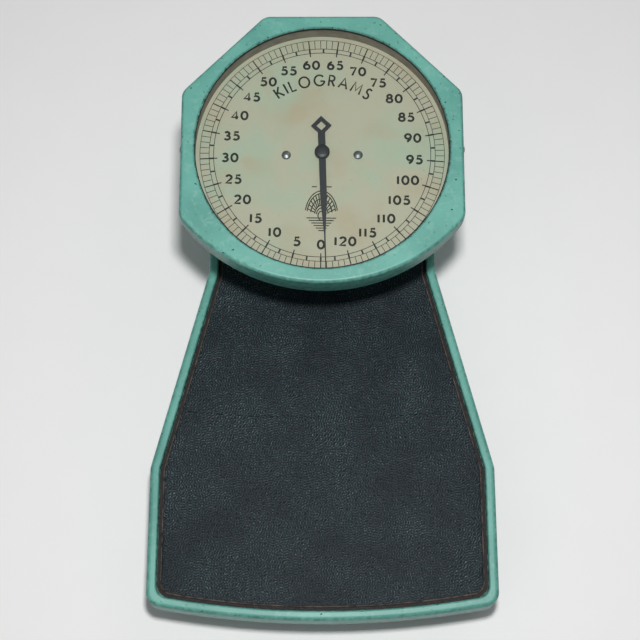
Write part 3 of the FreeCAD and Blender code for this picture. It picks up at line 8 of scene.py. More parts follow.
import json
import logging
import math
from abc import ABC, abstractmethod
from dataclasses import dataclass
from enum import Enum
from typing import Any, Callable, Iterable, Mapping, Sequence

import bpy
import numpy as np
from mathutils import Matrix, Vector

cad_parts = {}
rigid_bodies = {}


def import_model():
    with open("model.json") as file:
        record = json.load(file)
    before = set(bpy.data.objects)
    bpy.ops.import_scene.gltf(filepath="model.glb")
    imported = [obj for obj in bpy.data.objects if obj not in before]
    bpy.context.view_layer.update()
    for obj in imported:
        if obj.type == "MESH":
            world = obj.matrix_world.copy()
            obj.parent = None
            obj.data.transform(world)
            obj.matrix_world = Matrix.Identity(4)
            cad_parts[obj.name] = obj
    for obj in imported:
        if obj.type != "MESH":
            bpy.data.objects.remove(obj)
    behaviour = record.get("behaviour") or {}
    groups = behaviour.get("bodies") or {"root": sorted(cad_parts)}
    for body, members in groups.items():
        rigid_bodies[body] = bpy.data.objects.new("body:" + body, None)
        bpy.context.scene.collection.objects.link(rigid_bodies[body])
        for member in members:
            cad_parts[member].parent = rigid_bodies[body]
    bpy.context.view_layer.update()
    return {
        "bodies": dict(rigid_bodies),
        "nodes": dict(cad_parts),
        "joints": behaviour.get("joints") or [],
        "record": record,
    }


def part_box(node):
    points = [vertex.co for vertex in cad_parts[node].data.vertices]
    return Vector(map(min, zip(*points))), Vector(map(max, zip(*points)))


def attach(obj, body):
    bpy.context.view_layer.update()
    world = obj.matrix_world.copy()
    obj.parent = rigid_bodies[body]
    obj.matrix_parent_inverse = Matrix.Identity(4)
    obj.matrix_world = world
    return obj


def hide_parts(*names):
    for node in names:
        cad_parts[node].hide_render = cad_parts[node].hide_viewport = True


LOG = logging.getLogger("platform_scale")
MM = 0.001
Point = tuple[float, float]
Profile = Callable[[np.ndarray], np.ndarray]


# ------------------------------------------------------------------ nodes and colours
def linear(hex_colour: str) -> tuple[float, float, float, float]:
    """Turn an sRGB hex colour into a linear one.

    Args:
        hex_colour: Six hex digits, such as "66ad9f".

    Returns:
        Linear red, green and blue, and an alpha of one.
    """
    channels = [int(hex_colour[start:start + 2], 16) / 255 for start in (0, 2, 4)]
    red, green, blue = (channel / 12.92 if channel <= 0.04045
                        else ((channel + 0.055) / 1.055) ** 2.4 for channel in channels)
    return red, green, blue, 1.0


def add_node(tree: bpy.types.NodeTree, kind: str, settings: Mapping[Any, Any] | None = None,
             links: Mapping[Any, bpy.types.NodeSocket] | None = None) -> bpy.types.Node:
    """Add one shader node with its settings and its incoming links.

    Args:
        tree: The node tree to add to.
        kind: The node's type without its "ShaderNode" prefix.
        settings: Attributes of the node, or values of its inputs, by name or index.
        links: Sockets to join to its inputs, by name or index.

    Returns:
        The new node.
    """
    node = tree.nodes.new("ShaderNode" + kind)
    for name, value in (settings or {}).items():
        if isinstance(name, str) and hasattr(node, name):
            setattr(node, name, value)
        else:
            node.inputs[name].default_value = value
    for name, socket in (links or {}).items():
        tree.links.new(socket, node.inputs[name])
    return node


class MixSlot:
    """Where a Mix node keeps the sockets that blend two colours."""

    FACTOR, FIRST, SECOND, RESULT = 0, 6, 7, 2


@dataclass(frozen=True)
class Noise:
    """Blotches of about one size in metres, their finer detail, and how drawn out they are."""

    size: float
    detail: float
    drawn_out: float = 0.0


@dataclass(frozen=True)
class Mask:
    """A value's rise from low to high, carried to the range start to end."""

    value: bpy.types.NodeSocket
    low: float = 0.0
    high: float = 1.0
    start: float = 0.0
    end: float = 1.0


@dataclass(frozen=True)
class Wiring:
    """A material in the making: its nodes, the place on the piece, and its noises by name."""

    tree: bpy.types.NodeTree
    place: bpy.types.NodeSocket
    noise: Mapping[str, bpy.types.NodeSocket]

    def share(self, *masks: Mask) -> bpy.types.NodeSocket:
        """Where all of several masks hold at once.

        Args:
            masks: The masks, whose risen values are multiplied.

        Returns:
            Their product.
        """
        product = None
        for mask in masks:
            risen = add_node(self.tree, "MapRange",
                             {"From Min": mask.low, "From Max": mask.high,
                              "To Min": mask.start, "To Max": mask.end},
                             {"Value": mask.value}).outputs[0]
            product = risen if product is None else add_node(
                self.tree, "Math", {"operation": "MULTIPLY"}, {0: product, 1: risen}).outputs[0]
        return product

    def coat(self, below: bpy.types.NodeSocket | str, colour: str, *masks: Mask
             ) -> bpy.types.NodeSocket:
        """Lay a colour over what is below it, where all of several masks hold.

        Args:
            below: The colour below, as a socket or in hex.
            colour: The colour laid over it, in hex.
            masks: Where, and how thickly, it is laid.

        Returns:
            The colour of both together.
        """
        settings: dict[Any, Any] = {"data_type": "RGBA", MixSlot.SECOND: linear(colour)}
        links = {MixSlot.FACTOR: self.share(*masks)}
        if isinstance(below, str):
            settings[MixSlot.FIRST] = linear(below)
        else:
            links[MixSlot.FIRST] = below
        return add_node(self.tree, "Mix", settings, links).outputs[MixSlot.RESULT]

    def skin(self, colour: bpy.types.NodeSocket, rough: Mask, settings: Mapping[str, float],
             height: bpy.types.NodeSocket | None = None, depth: float = 0.0
             ) -> bpy.types.NodeSocket:
        """End a material with its colour, its sheen and the relief that light catches.

        Args:
            colour: The finished colour.
            rough: What the roughness follows, and its smoothest and roughest values.
            settings: Other inputs of the shader.
            height: The relief, where it has one.
            depth: The relief's depth in metres.

        Returns:
            The shader.
        """
        links = {"Base Color": colour, "Roughness": self.share(rough)}
        if height is not None:
            links["Normal"] = add_node(self.tree, "Bump", {"Distance": depth, "Strength": 1.0},
                                       {"Height": height}).outputs["Normal"]
        return add_node(self.tree, "BsdfPrincipled", settings, links).outputs["BSDF"]


@dataclass(frozen=True)
class Finish(ABC):
    """A surface finish. Its material is made once and then shared."""

    name: str

    @abstractmethod
    def noises(self) -> dict[str, Noise]:
        """The finish's noises by name."""

    @abstractmethod
    def lay(self, wiring: Wiring) -> bpy.types.NodeSocket:
        """Build the finish's layers and return the shader that ends them."""

    def material(self) -> bpy.types.Material:
        """Make the finish's material on first use.

        Returns:
            The material, shared by all that wear the finish.
        """
        known = bpy.data.materials.get(self.name)
        if known:
            return known
        made = bpy.data.materials.new(self.name)
        made.use_nodes = True
        tree = made.node_tree
        tree.nodes.clear()
        place = add_node(tree, "TexCoord").outputs["Object"]
        noise = {name: add_node(tree, "TexNoise",
                                {"Scale": 1 / one.size, "Detail": one.detail,
                                 "Distortion": one.drawn_out},
                                {"Vector": place}).outputs["Fac"]
                 for name, one in self.noises().items()}
        shader = self.lay(Wiring(tree, place, noise))
        add_node(tree, "OutputMaterial", links={"Surface": shader})
        return made


@dataclass(frozen=True)
class StovedEnamel(Finish):
    """Enamel sprayed on pressed steel and baked in a stove.

    To the eye it is a glassy, faintly uneven green with small chips down to the dark steel.
    Its edges are rubbed dull and darkened, partly wear and partly painted shade; faces that
    turn away from up carry painted shade, and corners carry soiling and painted shade.
    """

    colour: str = "68ad9f"
    shade: str = "579a8e"
    chalk: str = "8fbfb4"
    chip: str = "100e0b"
    grime: str = "161d17"
    deep: str = "2f6a61"
    worn: str = "3b6b64"
    edge: float = 2.2 * MM
    reach: float = 5 * MM
    rays: int = 6
    dot_spacing: float = 7 * MM
    dot_share: float = 0.72
    chip_step: float = -4.0
    peel_depth: float = 0.03 * MM

    def noises(self) -> dict[str, Noise]:
        """Clouds, bloom, streaks that break up wear, soiling and painted shade, flakes and where
        they are likely, orange peel.
        """
        # Real peel and flakes are finer, and are drawn as coarse as they need to show.
        return {"clouds": Noise(40 * MM, 4), "bloom": Noise(5 * MM, 5, 0.6),
                "streaks": Noise(4 * MM, 5, 0.4), "flakes": Noise(2.2 * MM, 6, 0.8),
                "likely": Noise(20 * MM, 2), "peel": Noise(1.6 * MM, 2)}

    def lay(self, wiring: Wiring) -> bpy.types.NodeSocket:
        """Lay mottled colour, wear and painted shade on edges and slopes, soiling and painted
        shade in corners, and chips that favour the edges.

        Args:
            wiring: The material in the making.

        Returns:
            The shader.
        """
        tree, noise = wiring.tree, wiring.noise
        plain = add_node(tree, "NewGeometry").outputs["Normal"]
        eased = add_node(tree, "Bevel", {"samples": self.rays, "Radius": self.edge}
                         ).outputs["Normal"]
        facing = add_node(tree, "VectorMath", {"operation": "DOT_PRODUCT"},
                          {0: plain, 1: eased}).outputs["Value"]
        upward = add_node(tree, "SeparateXYZ", links={0: plain}).outputs["Z"]
        shut_in = add_node(tree, "AmbientOcclusion", {"samples": self.rays,
                                                      "Distance": self.reach}).outputs["AO"]
        edges = Mask(facing, 0.992, 0.9)

        # The spray was never quite even, and it has chalked in patches.
        colour = wiring.coat(self.colour, self.shade, Mask(noise["clouds"], 0.36, 0.66))
        colour = wiring.coat(colour, self.chalk, Mask(noise["bloom"], 0.52, 0.85, 0, 0.6))

        # Edges are rubbed dull and dark, partly wear and partly painted shade on rounded edges
        # and creases; faces that turn away from up get painted shade, the flanks deepest.
        colour = wiring.coat(colour, self.worn, edges,
                             Mask(noise["streaks"], 0.3, 0.6, 0.2, 0.75))
        colour = wiring.coat(colour, self.worn, Mask(upward, 0.985, 0.8, 0, 0.62),
                             Mask(noise["streaks"], 0.4, 0.62))
        colour = wiring.coat(colour, self.deep, Mask(upward, 0.93, 0.25, 0, 0.3))
        # Darker where ambient occlusion finds the surface shut in: soiling together with painted
        # shade in corners, creases and gaps.
        corner_shade_and_soil = wiring.share(Mask(shut_in, 0.7, 0.3),
                            Mask(noise["streaks"], 0.34, 0.62, 0.35, 1))
        colour = wiring.coat(colour, self.grime, Mask(corner_shade_and_soil))

        # Flakes are lost mostly along edges, and a few small round chips lie anywhere.
        chance = wiring.share(edges, Mask(noise["likely"], 0.4, 0.66, 0.05, 0.26))
        flaking = add_node(tree, "Math", {"operation": "ADD"},
                           {0: noise["flakes"], 1: chance}).outputs[0]
        dots = add_node(tree, "TexVoronoi", {"Scale": 1 / self.dot_spacing},
                        {"Vector": wiring.place})
        drawn = add_node(tree, "SeparateColor", links={0: dots.outputs["Color"]}).outputs[0]
        chosen = add_node(tree, "Math", {"operation": "GREATER_THAN", 1: self.dot_share},
                          {0: drawn}).outputs[0]
        spots = wiring.share(Mask(chosen), Mask(dots.outputs["Distance"], 0.1, 0.07))
        bare = add_node(tree, "Math", {"operation": "MAXIMUM"},
                        {0: wiring.share(Mask(flaking, 0.69, 0.71)), 1: spots}).outputs[0]
        colour = wiring.coat(colour, self.chip, Mask(bare))

        sunken = add_node(tree, "Math", {"operation": "MULTIPLY_ADD", 1: self.chip_step},
                          {0: bare, 2: noise["peel"]}).outputs[0]
        dull = add_node(tree, "Math", {"operation": "MAXIMUM"}, {0: bare, 1: corner_shade_and_soil}).outputs[0]
        return wiring.skin(colour, Mask(dull, 0, 1, 0.44, 0.75), {"IOR": 1.5}, sunken,
                           self.peel_depth)


@dataclass(frozen=True)
class RibbedRubber(Finish):
    """Black rubber moulded with fine ribs.

    To the eye it is dull and bloomed to slate in patches; painted shade makes its grooves
    nearly black, and its tops are greyed, partly where feet have scuffed them and partly as
    painted highlight.
    """

    top_level: float = 0.0
    relief: float = 0.6 * MM
    groove: str = "03080c"
    body: str = "0b2028"
    bloom: str = "1a2f36"
    worn: str = "a6bcc0"
    grain_depth: float = 0.05 * MM

    def noises(self) -> dict[str, Noise]:
        """Clouds of bloom, specks that break up the scuffing and painted highlight on the tops,
        and the rubber's grain.
        """
        # The moulded grain is finer than 0.7 mm, and is drawn that coarse to show.
        return {"clouds": Noise(38 * MM, 4), "specks": Noise(1.1 * MM, 3),
                "grain": Noise(0.7 * MM, 2)}

    def lay(self, wiring: Wiring) -> bpy.types.NodeSocket:
        """Lay slate patches, painted shade that darkens the grooves by height, and tops
        lightened by height and patches, partly scuffing and partly painted highlight.

        Args:
            wiring: The material in the making.

        Returns:
            The shader.
        """
        noise = wiring.noise
        level = add_node(wiring.tree, "SeparateXYZ", links={0: wiring.place}).outputs["Z"]
        height = wiring.share(Mask(level, self.top_level - self.relief, self.top_level))
        colour = wiring.coat(self.body, self.bloom, Mask(noise["clouds"], 0.34, 0.66))
        # Lower in the relief is darker: painted shade in the grooves.
        colour = wiring.coat(colour, self.groove, Mask(height, 0.1, 0.75, 1, 0))
        # The highest tops are lightened in patches and specks: partly scuffing, partly painted
        # highlight.
        colour = wiring.coat(colour, self.worn, Mask(height, 0.72, 1.0),
                             Mask(noise["clouds"], 0.3, 0.7, 0.12, 0.6),
                             Mask(noise["specks"], 0.42, 0.66))
        return wiring.skin(colour, Mask(noise["grain"], 0.3, 0.7, 0.5, 0.72),
                           {"IOR": 1.5, "Specular IOR Level": 0.28}, noise["grain"],
                           self.grain_depth)


@dataclass(frozen=True)
class Matt(Finish):
    """A dull material such as moulded rubber, pressed card, canvas or a black gap fill.

    To the eye it has no shine, two close colours in patches, and a fine tooth, which is
    drawn coarse enough to show.
    """

    colour: str = "808080"
    mottle: str = "707070"
    patch: float = 12 * MM
    grain: float = 0.8 * MM
    relief: float = 0.04 * MM
    roughness: float = 0.7
    spread: float = 0.12

    def noises(self) -> dict[str, Noise]:
        """Patches of the second colour, and the tooth."""
        return {"patches": Noise(self.patch, 4), "grain": Noise(self.grain, 3)}

    def lay(self, wiring: Wiring) -> bpy.types.NodeSocket:
        """Lay two close colours in patches, with a grained surface.

        Args:
            wiring: The material in the making.

        Returns:
            The shader.
        """
        grain = wiring.noise["grain"]
        colour = wiring.coat(self.colour, self.mottle, Mask(wiring.noise["patches"], 0.35, 0.66))
        rough = Mask(grain, 0.3, 0.7, self.roughness - self.spread, self.roughness + self.spread)
        return wiring.skin(colour, rough, {"IOR": 1.5}, grain, self.relief)


@dataclass(frozen=True)
class AgedDial(Finish):
    """White paint under clear lacquer on the dial's sheet metal.

    To the eye it has yellowed to cream, with greenish and tan clouds, small brown foxing
    and a thin, uneven shine.
    """

    cream: str = "c4bba8"
    green: str = "b7bfac"
    tan: str = "c0ad95"
    spot: str = "8d7a58"
    relief: float = 0.02 * MM

    def noises(self) -> dict[str, Noise]:
        """Slow green clouds, warm tan ones, foxing, and the lacquer's unevenness."""
        return {"slow": Noise(52 * MM, 3, 0.4), "warm": Noise(34 * MM, 4, 0.3),
                "foxing": Noise(2.2 * MM, 5), "grain": Noise(1.1 * MM, 3)}

    def lay(self, wiring: Wiring) -> bpy.types.NodeSocket:
        """Lay clouds of three colours, small brown spots, and a thin uneven lacquer.

        Args:
            wiring: The material in the making.

        Returns:
            The shader.
        """
        noise = wiring.noise
        colour = wiring.coat(self.cream, self.green, Mask(noise["slow"], 0.47, 0.62))
        colour = wiring.coat(colour, self.tan, Mask(noise["warm"], 0.5, 0.72, 0, 0.8))
        colour = wiring.coat(colour, self.spot, Mask(noise["foxing"], 0.66, 0.8, 0, 0.5))
        return wiring.skin(colour, Mask(noise["grain"], 0.3, 0.7, 0.42, 0.6), {"IOR": 1.48},
                           noise["grain"], self.relief)


@dataclass(frozen=True)
class Metal(Finish):
    """Bare or plated metal, turned, rolled or drawn.

    To the eye it is bright with a fine grain from its making, drawn coarse enough to show,
    and has dull patches from age.
    """

    colour: str = "b9b6ad"
    tarnish: str = "8d887c"
    roughness: float = 0.3
    grain: float = 0.9 * MM
    relief: float = 0.02 * MM
    dulling: float = 0.25

    def noises(self) -> dict[str, Noise]:
        """Patches of tarnish, and the grain."""
        return {"patches": Noise(9 * MM, 5), "grain": Noise(self.grain, 2)}

    def lay(self, wiring: Wiring) -> bpy.types.NodeSocket:
        """Lay bright metal with tarnish in patches that are rougher than the rest.

        Args:
            wiring: The material in the making.

        Returns:
            The shader.
        """
        patches = wiring.noise["patches"]
        colour = wiring.coat(self.colour, self.tarnish, Mask(patches, 0.42, 0.7))
        rough = Mask(patches, 0.3, 0.75, self.roughness, self.roughness + self.dulling)
        return wiring.skin(colour, rough, {"Metallic": 1.0}, wiring.noise["grain"], self.relief)


@dataclass(frozen=True)
class Lacquer(Finish):
    """Black lacquer brushed on steel.

    To the eye it is deep and glossy, with a faint orange peel and a little settled dust.
    """

    colour: str = "0b0a0e"
    dust: str = "1b1a1d"
    relief: float = 0.02 * MM

    def noises(self) -> dict[str, Noise]:
        """Dust, which the peel and the sheen follow."""
        return {"settled": Noise(3 * MM, 4)}

    def lay(self, wiring: Wiring) -> bpy.types.NodeSocket:
        """Lay near black under a clear coat, greyed a little where dust has settled.

        Args:
            wiring: The material in the making.

        Returns:
            The shader.
        """
        settled = wiring.noise["settled"]
        colour = wiring.coat(self.colour, self.dust, Mask(settled, 0.55, 0.85))
        return wiring.skin(colour, Mask(settled, 0.3, 0.8, 0.14, 0.4),
                           {"IOR": 1.5, "Coat Weight": 0.6, "Coat Roughness": 0.05}, settled,
                           self.relief)


@dataclass(frozen=True)
class PrintersInk(Finish):
    """Printer's ink on the dial.

    To the eye it is a dull black that has gone thin and brownish in places.
    """

    colour: str = "1c211c"
    thin: str = "55584a"
    thinning: float = 0.55

    def noises(self) -> dict[str, Noise]:
        """Where the ink has broken up."""
        return {"broken": Noise(1.4 * MM, 4)}

    def lay(self, wiring: Wiring) -> bpy.types.NodeSocket:
        """Lay black broken by fine noise towards the colour of the dial.

        Args:
            wiring: The material in the making.

        Returns:
            The shader.
        """
        broken = wiring.noise["broken"]
        colour = wiring.coat(self.colour, self.thin, Mask(broken, 0.5, 0.85, 0, self.thinning))
        return wiring.skin(colour, Mask(broken, 0.3, 0.7, 0.45, 0.65), {"IOR": 1.5})


@dataclass(frozen=True)
class WindowGlass(Finish):
    """Drawn sheet glass.

    To the eye it is clear and faintly green, its mirror is a little wavy, and it mirrors
    more the flatter it is looked along.
    """

    tint: str = "fafdfb"
    mirror: str = "ffffff"
    polish: float = 0.03
    wave_depth: float = 0.02 * MM
    facing_mirror: float = 0.04
    glancing_mirror: float = 0.9
    steepness: int = 5

    def noises(self) -> dict[str, Noise]:
        """The slow wave that drawing leaves in the sheet."""
        return {"wave": Noise(30 * MM, 1)}

    def lay(self, wiring: Wiring) -> bpy.types.NodeSocket:
        """Lay a clear sheet under a mirror that grows towards a glancing view.

        Args:
            wiring: The material in the making.

        Returns:
            The shader.
        """
        tree = wiring.tree
        bumped = add_node(tree, "Bump", {"Distance": self.wave_depth, "Strength": 1.0},
                          {"Height": wiring.noise["wave"]}).outputs["Normal"]
        mirror = add_node(tree, "BsdfAnisotropic", {"Roughness": self.polish,
                                                    "Color": linear(self.mirror)},
                          {"Normal": bumped}).outputs[0]
        through = add_node(tree, "BsdfTransparent", {"Color": linear(self.tint)}).outputs[0]
        turned = add_node(tree, "LayerWeight", {"Blend": 0.5}).outputs["Facing"]
        glance = add_node(tree, "Math", {"operation": "POWER", 1: self.steepness},
                          {0: turned}).outputs[0]
        share = wiring.share(Mask(glance, 0, 1, self.facing_mirror, self.glancing_mirror))
        return add_node(tree, "MixShader", links={0: share, 1: through, 2: mirror}).outputs[0]


@dataclass(frozen=True)
class PaleFloor(Finish):
    """Matt studio board: a plain pale floor that takes a soft shadow."""

    light: str = "fbfbfa"
    shade: str = "f8f8f7"

    def noises(self) -> dict[str, Noise]:
        """The board's slight unevenness."""
        return {"grain": Noise(40 * MM, 2)}

    def lay(self, wiring: Wiring) -> bpy.types.NodeSocket:
        """Lay one pale colour with a soft grain.

        Args:
            wiring: The material in the making.

        Returns:
            The shader.
        """
        colour = wiring.coat(self.light, self.shade, Mask(wiring.noise["grain"]))
        return add_node(wiring.tree, "BsdfPrincipled",
                        {"Roughness": 0.8, "Specular IOR Level": 0.2},
                        {"Base Color": colour}).outputs["BSDF"]


ENAMEL = StovedEnamel("stoved_enamel_on_steel")
CANVAS = Matt("canvas_backed_rubber_edge", "5d5046", "1c1917", 5 * MM, 0.9 * MM, 0.08 * MM, 0.8)
GAP_BLACK = Matt("black_gap_fill", "090807", "1a1511", 4 * MM, 0.8 * MM, 0.1 * MM, 0.7)
FOOT_RUBBER = Matt("moulded_foot_rubber", "1d1c1b", "2b2927", 8 * MM, 0.7 * MM, 0.05 * MM, 0.6)
CARD = Matt("pressed_card_ring", "968e84", "81766e", 10 * MM, 0.9 * MM, 0.05 * MM, 0.75)
DIAL = AgedDial("lacquered_dial")
INK = PrintersInk("dial_ink")
FAINT_INK = PrintersInk("faint_dial_ink", "2c3129", "74745f", 0.95)
GLASS = WindowGlass("drawn_sheet_glass")
LACQUER = Lacquer("black_lacquer")
NICKEL = Metal("dull_nickel_plate", "a9adb0", "6f7478", 0.24)
BRASS = Metal("turned_brass", "b08d4a", "7d6534", 0.28)
ZINC = Metal("zinc_plated_steel", "a8a9a5", "83847f", 0.36)
SPRING = Metal("oiled_spring_steel", "6a6a6c", "3f3b38", 0.3)
LEVER = Metal("cold_rolled_lever_steel", "8a8883", "5c554c", 0.4)
CAST = Metal("turned_steel", "77746f", "4e4a45", 0.45)
FLOOR = PaleFloor("pale_studio_floor")

FRAME_FINISHES: Mapping[Finish, Sequence[str]] = {
    ENAMEL: ("platform_tray", "base_pan", "pedestal_housing", "dial_case", "bezel"),
    FOOT_RUBBER: ("rubber_feet", "glass_gasket"),
    CARD: ("spacer_ring",),
    DIAL: ("dial_plate",),
    GLASS: ("dial_glass",),
    LACQUER: ("pointer", "pointer_cap"),
    NICKEL: ("dial_screws", "bezel_screws"),
    BRASS: ("arbor_bushes", "rack", "pinion_arbor", "movement_bridge", "bridge_pillars"),
    SPRING: ("main_springs",),
    ZINC: ("foot_screws", "pedestal_screws", "case_screws", "zero_yoke", "yoke_legs",
           "spring_anchor", "draw_plate", "rack_guide", "crank_stand", "bell_crank"),
    LEVER: ("long_lever", "short_lever", "lever_link", "front_stiffener", "rear_stiffener"),
    CAST: ("front_fulcrum_stands", "rear_fulcrum_stands", "front_load_blocks",
           "rear_load_blocks", "long_lever_pins", "short_lever_pins", "crank_pin",
           "zero_screw", "zero_wheel"),
}


# ------------------------------------------------------------------ bench work
def clear_selection() -> None:
    """Leave object mode with nothing selected."""
    if bpy.context.object and bpy.context.object.mode != "OBJECT":
        bpy.ops.object.mode_set(mode="OBJECT")
    bpy.ops.object.select_all(action="DESELECT")


def pick(piece: bpy.types.Object) -> None:
    """Make one object the only selected one."""
    clear_selection()
    bpy.context.view_layer.objects.active = piece
    piece.select_set(True)


def edit_all(piece: bpy.types.Object) -> None:
    """Enter edit mode with the whole mesh selected."""
    pick(piece)
    bpy.ops.object.mode_set(mode="EDIT")
    bpy.ops.mesh.select_all(action="SELECT")


def select_faces(piece: bpy.types.Object, test: Callable[[bpy.types.MeshPolygon], bool]) -> None:
    """Enter edit mode with only the faces selected that pass a test.

    Args:
        piece: The object to edit.
        test: Says of a face whether it is wanted.
    """
    pick(piece)
    bpy.ops.object.mode_set(mode="EDIT")
    bpy.ops.mesh.select_mode(type="FACE")
    bpy.ops.mesh.select_all(action="DESELECT")
    bpy.ops.object.mode_set(mode="OBJECT")
    for face in piece.data.polygons:
        face.select = test(face)
    bpy.ops.object.mode_set(mode="EDIT")


def leave_edit() -> None:
    """Return to object mode."""
    bpy.ops.object.mode_set(mode="OBJECT")


def apply_modifier(piece: bpy.types.Object, kind: str, **settings: Any) -> None:
    """Add a modifier with its settings and apply it.

    Args:
        piece: The object that gets it.
        kind: The modifier's type.
        settings: Its attributes.
    """
    pick(piece)
    modifier = piece.modifiers.new(kind.title(), kind)
    for name, value in settings.items():
        setattr(modifier, name, value)
    bpy.ops.object.modifier_apply(modifier=modifier.name)


def join(pieces: Sequence[bpy.types.Object]) -> bpy.types.Object:
    """Make one object of several.

    Args:
        pieces: The objects; the first one takes in the rest.

    Returns:
        The first object.
    """
    pick(pieces[0])
    for piece in pieces[1:]:
        piece.select_set(True)
    bpy.ops.object.join()
    return pieces[0]


def copy_of(piece: bpy.types.Object) -> bpy.types.Object:
    """Copy an object together with its mesh.

    Args:
        piece: The object to copy.

    Returns:
        The copy, linked to the scene.
    """
    twin = piece.copy()
    twin.data = piece.data.copy()
    bpy.context.scene.collection.objects.link(twin)
    return twin


def smooth(piece: bpy.types.Object, degrees: float = 35) -> None:
    """Shade faces smooth, but for edges sharper than an angle."""
    pick(piece)
    bpy.ops.object.shade_smooth_by_angle(angle=math.radians(degrees))


@dataclass(frozen=True)
class Fitting:
    """Where a finished piece belongs: its name, body, slot and the nodes that it stands for."""

    name: str
    body: str
    slot: str
    stands_for: tuple[str, ...] = ()


def hand_over(piece: bpy.types.Object, fitting: Fitting, finishes: Sequence[Finish] = (),
              place: Matrix | None = None) -> bpy.types.Object:
    """Fix a piece's place in its mesh, dress it, and let it ride on its body.

    Args:
        piece: The modelled object.
        fitting: Its name, body, slot and replaced nodes.
        finishes: Its finishes, one for each material slot.
        place: Carries the mesh from where it was drawn to where it belongs.

    Returns:
        The same object.
    """
    pick(piece)
    bpy.ops.object.transform_apply(location=True, rotation=True, scale=True)
    if place is not None:
        piece.data.transform(place)
    piece.name = piece.data.name = fitting.name
    if finishes:
        piece.data.materials.clear()
        for finish in finishes:
            piece.data.materials.append(finish.material())
    if fitting.stands_for:
        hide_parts(*fitting.stands_for)
    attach(piece, fitting.body)
    LOG.info("%s: %d faces on %s", fitting.name, len(piece.data.polygons), fitting.body)
    return piece


# ------------------------------------------------------------------ the dial's own plane
@dataclass(frozen=True)
class DialPlane:
    """The dial's frame: its centre on the arbor's axis, and the way out of the dial."""

    centre: Vector
    out: Vector

    @classmethod
    def from_frame(cls, frame: Mapping[str, Any]) -> "DialPlane":
        """Read the arbor's axis from the pointer's joint.

        Args:
            frame: The loaded frame.

        Returns:
            The dial's plane.
        """
        joint = next(one for one in frame["joints"] if one["child"] == "pointer")
        out = -Vector(joint["axis"]).normalized()
        return cls(Vector(joint["pos_m"]), out)

    def level(self, node: bpy.types.Object) -> float:
        """How far out of the dial a node reaches at its highest."""
        return max((vertex.co - self.centre).dot(self.out) for vertex in node.data.vertices)

    def at(self, level: float) -> Matrix:
        """Place flat work on the dial.

        Args:
            level: How far out of the dial's centre it lies, in metres.

        Returns:
            The matrix that carries it there.
        """
        right = Vector((1, 0, 0))
        up = self.out.cross(right)
        turn = Matrix((right, up, self.out)).transposed().to_4x4()
        return Matrix.Translation(self.centre + self.out * level) @ turn


# ------------------------------------------------------------------ lettering in strokes
@dataclass(frozen=True)
class Arc:
    """Part of an ellipse in a glyph's square, by centre, radii and angles in degrees."""

    across: float
    up: float
    width: float
    height: float
    start: float
    end: float
    steps: int = 14

    def points(self) -> list[Point]:
        """Step along the arc.

        Returns:
            Its points from its start to its end.
        """
        angles = [math.radians(self.start + (self.end - self.start) * step / self.steps)
                  for step in range(self.steps + 1)]
        return [(self.across + self.width * math.cos(angle),
                 self.up + self.height * math.sin(angle)) for angle in angles]


Stroke = Sequence[Point | Arc]


@dataclass(frozen=True)
class Glyph:
    """A sign drawn in strokes, one unit high, and how wide it is."""

    width: float
    strokes: tuple[Stroke, ...]

    def lines(self) -> list[list[Point]]:
        """Follow each stroke, which is made of points and arcs.

        Returns:
            The points of every stroke.
        """
        drawn = []
        for stroke in self.strokes:
            points: list[Point] = []
            for part in stroke:
                points += part.points() if isinstance(part, Arc) else [part]
            drawn.append(points)
        return drawn


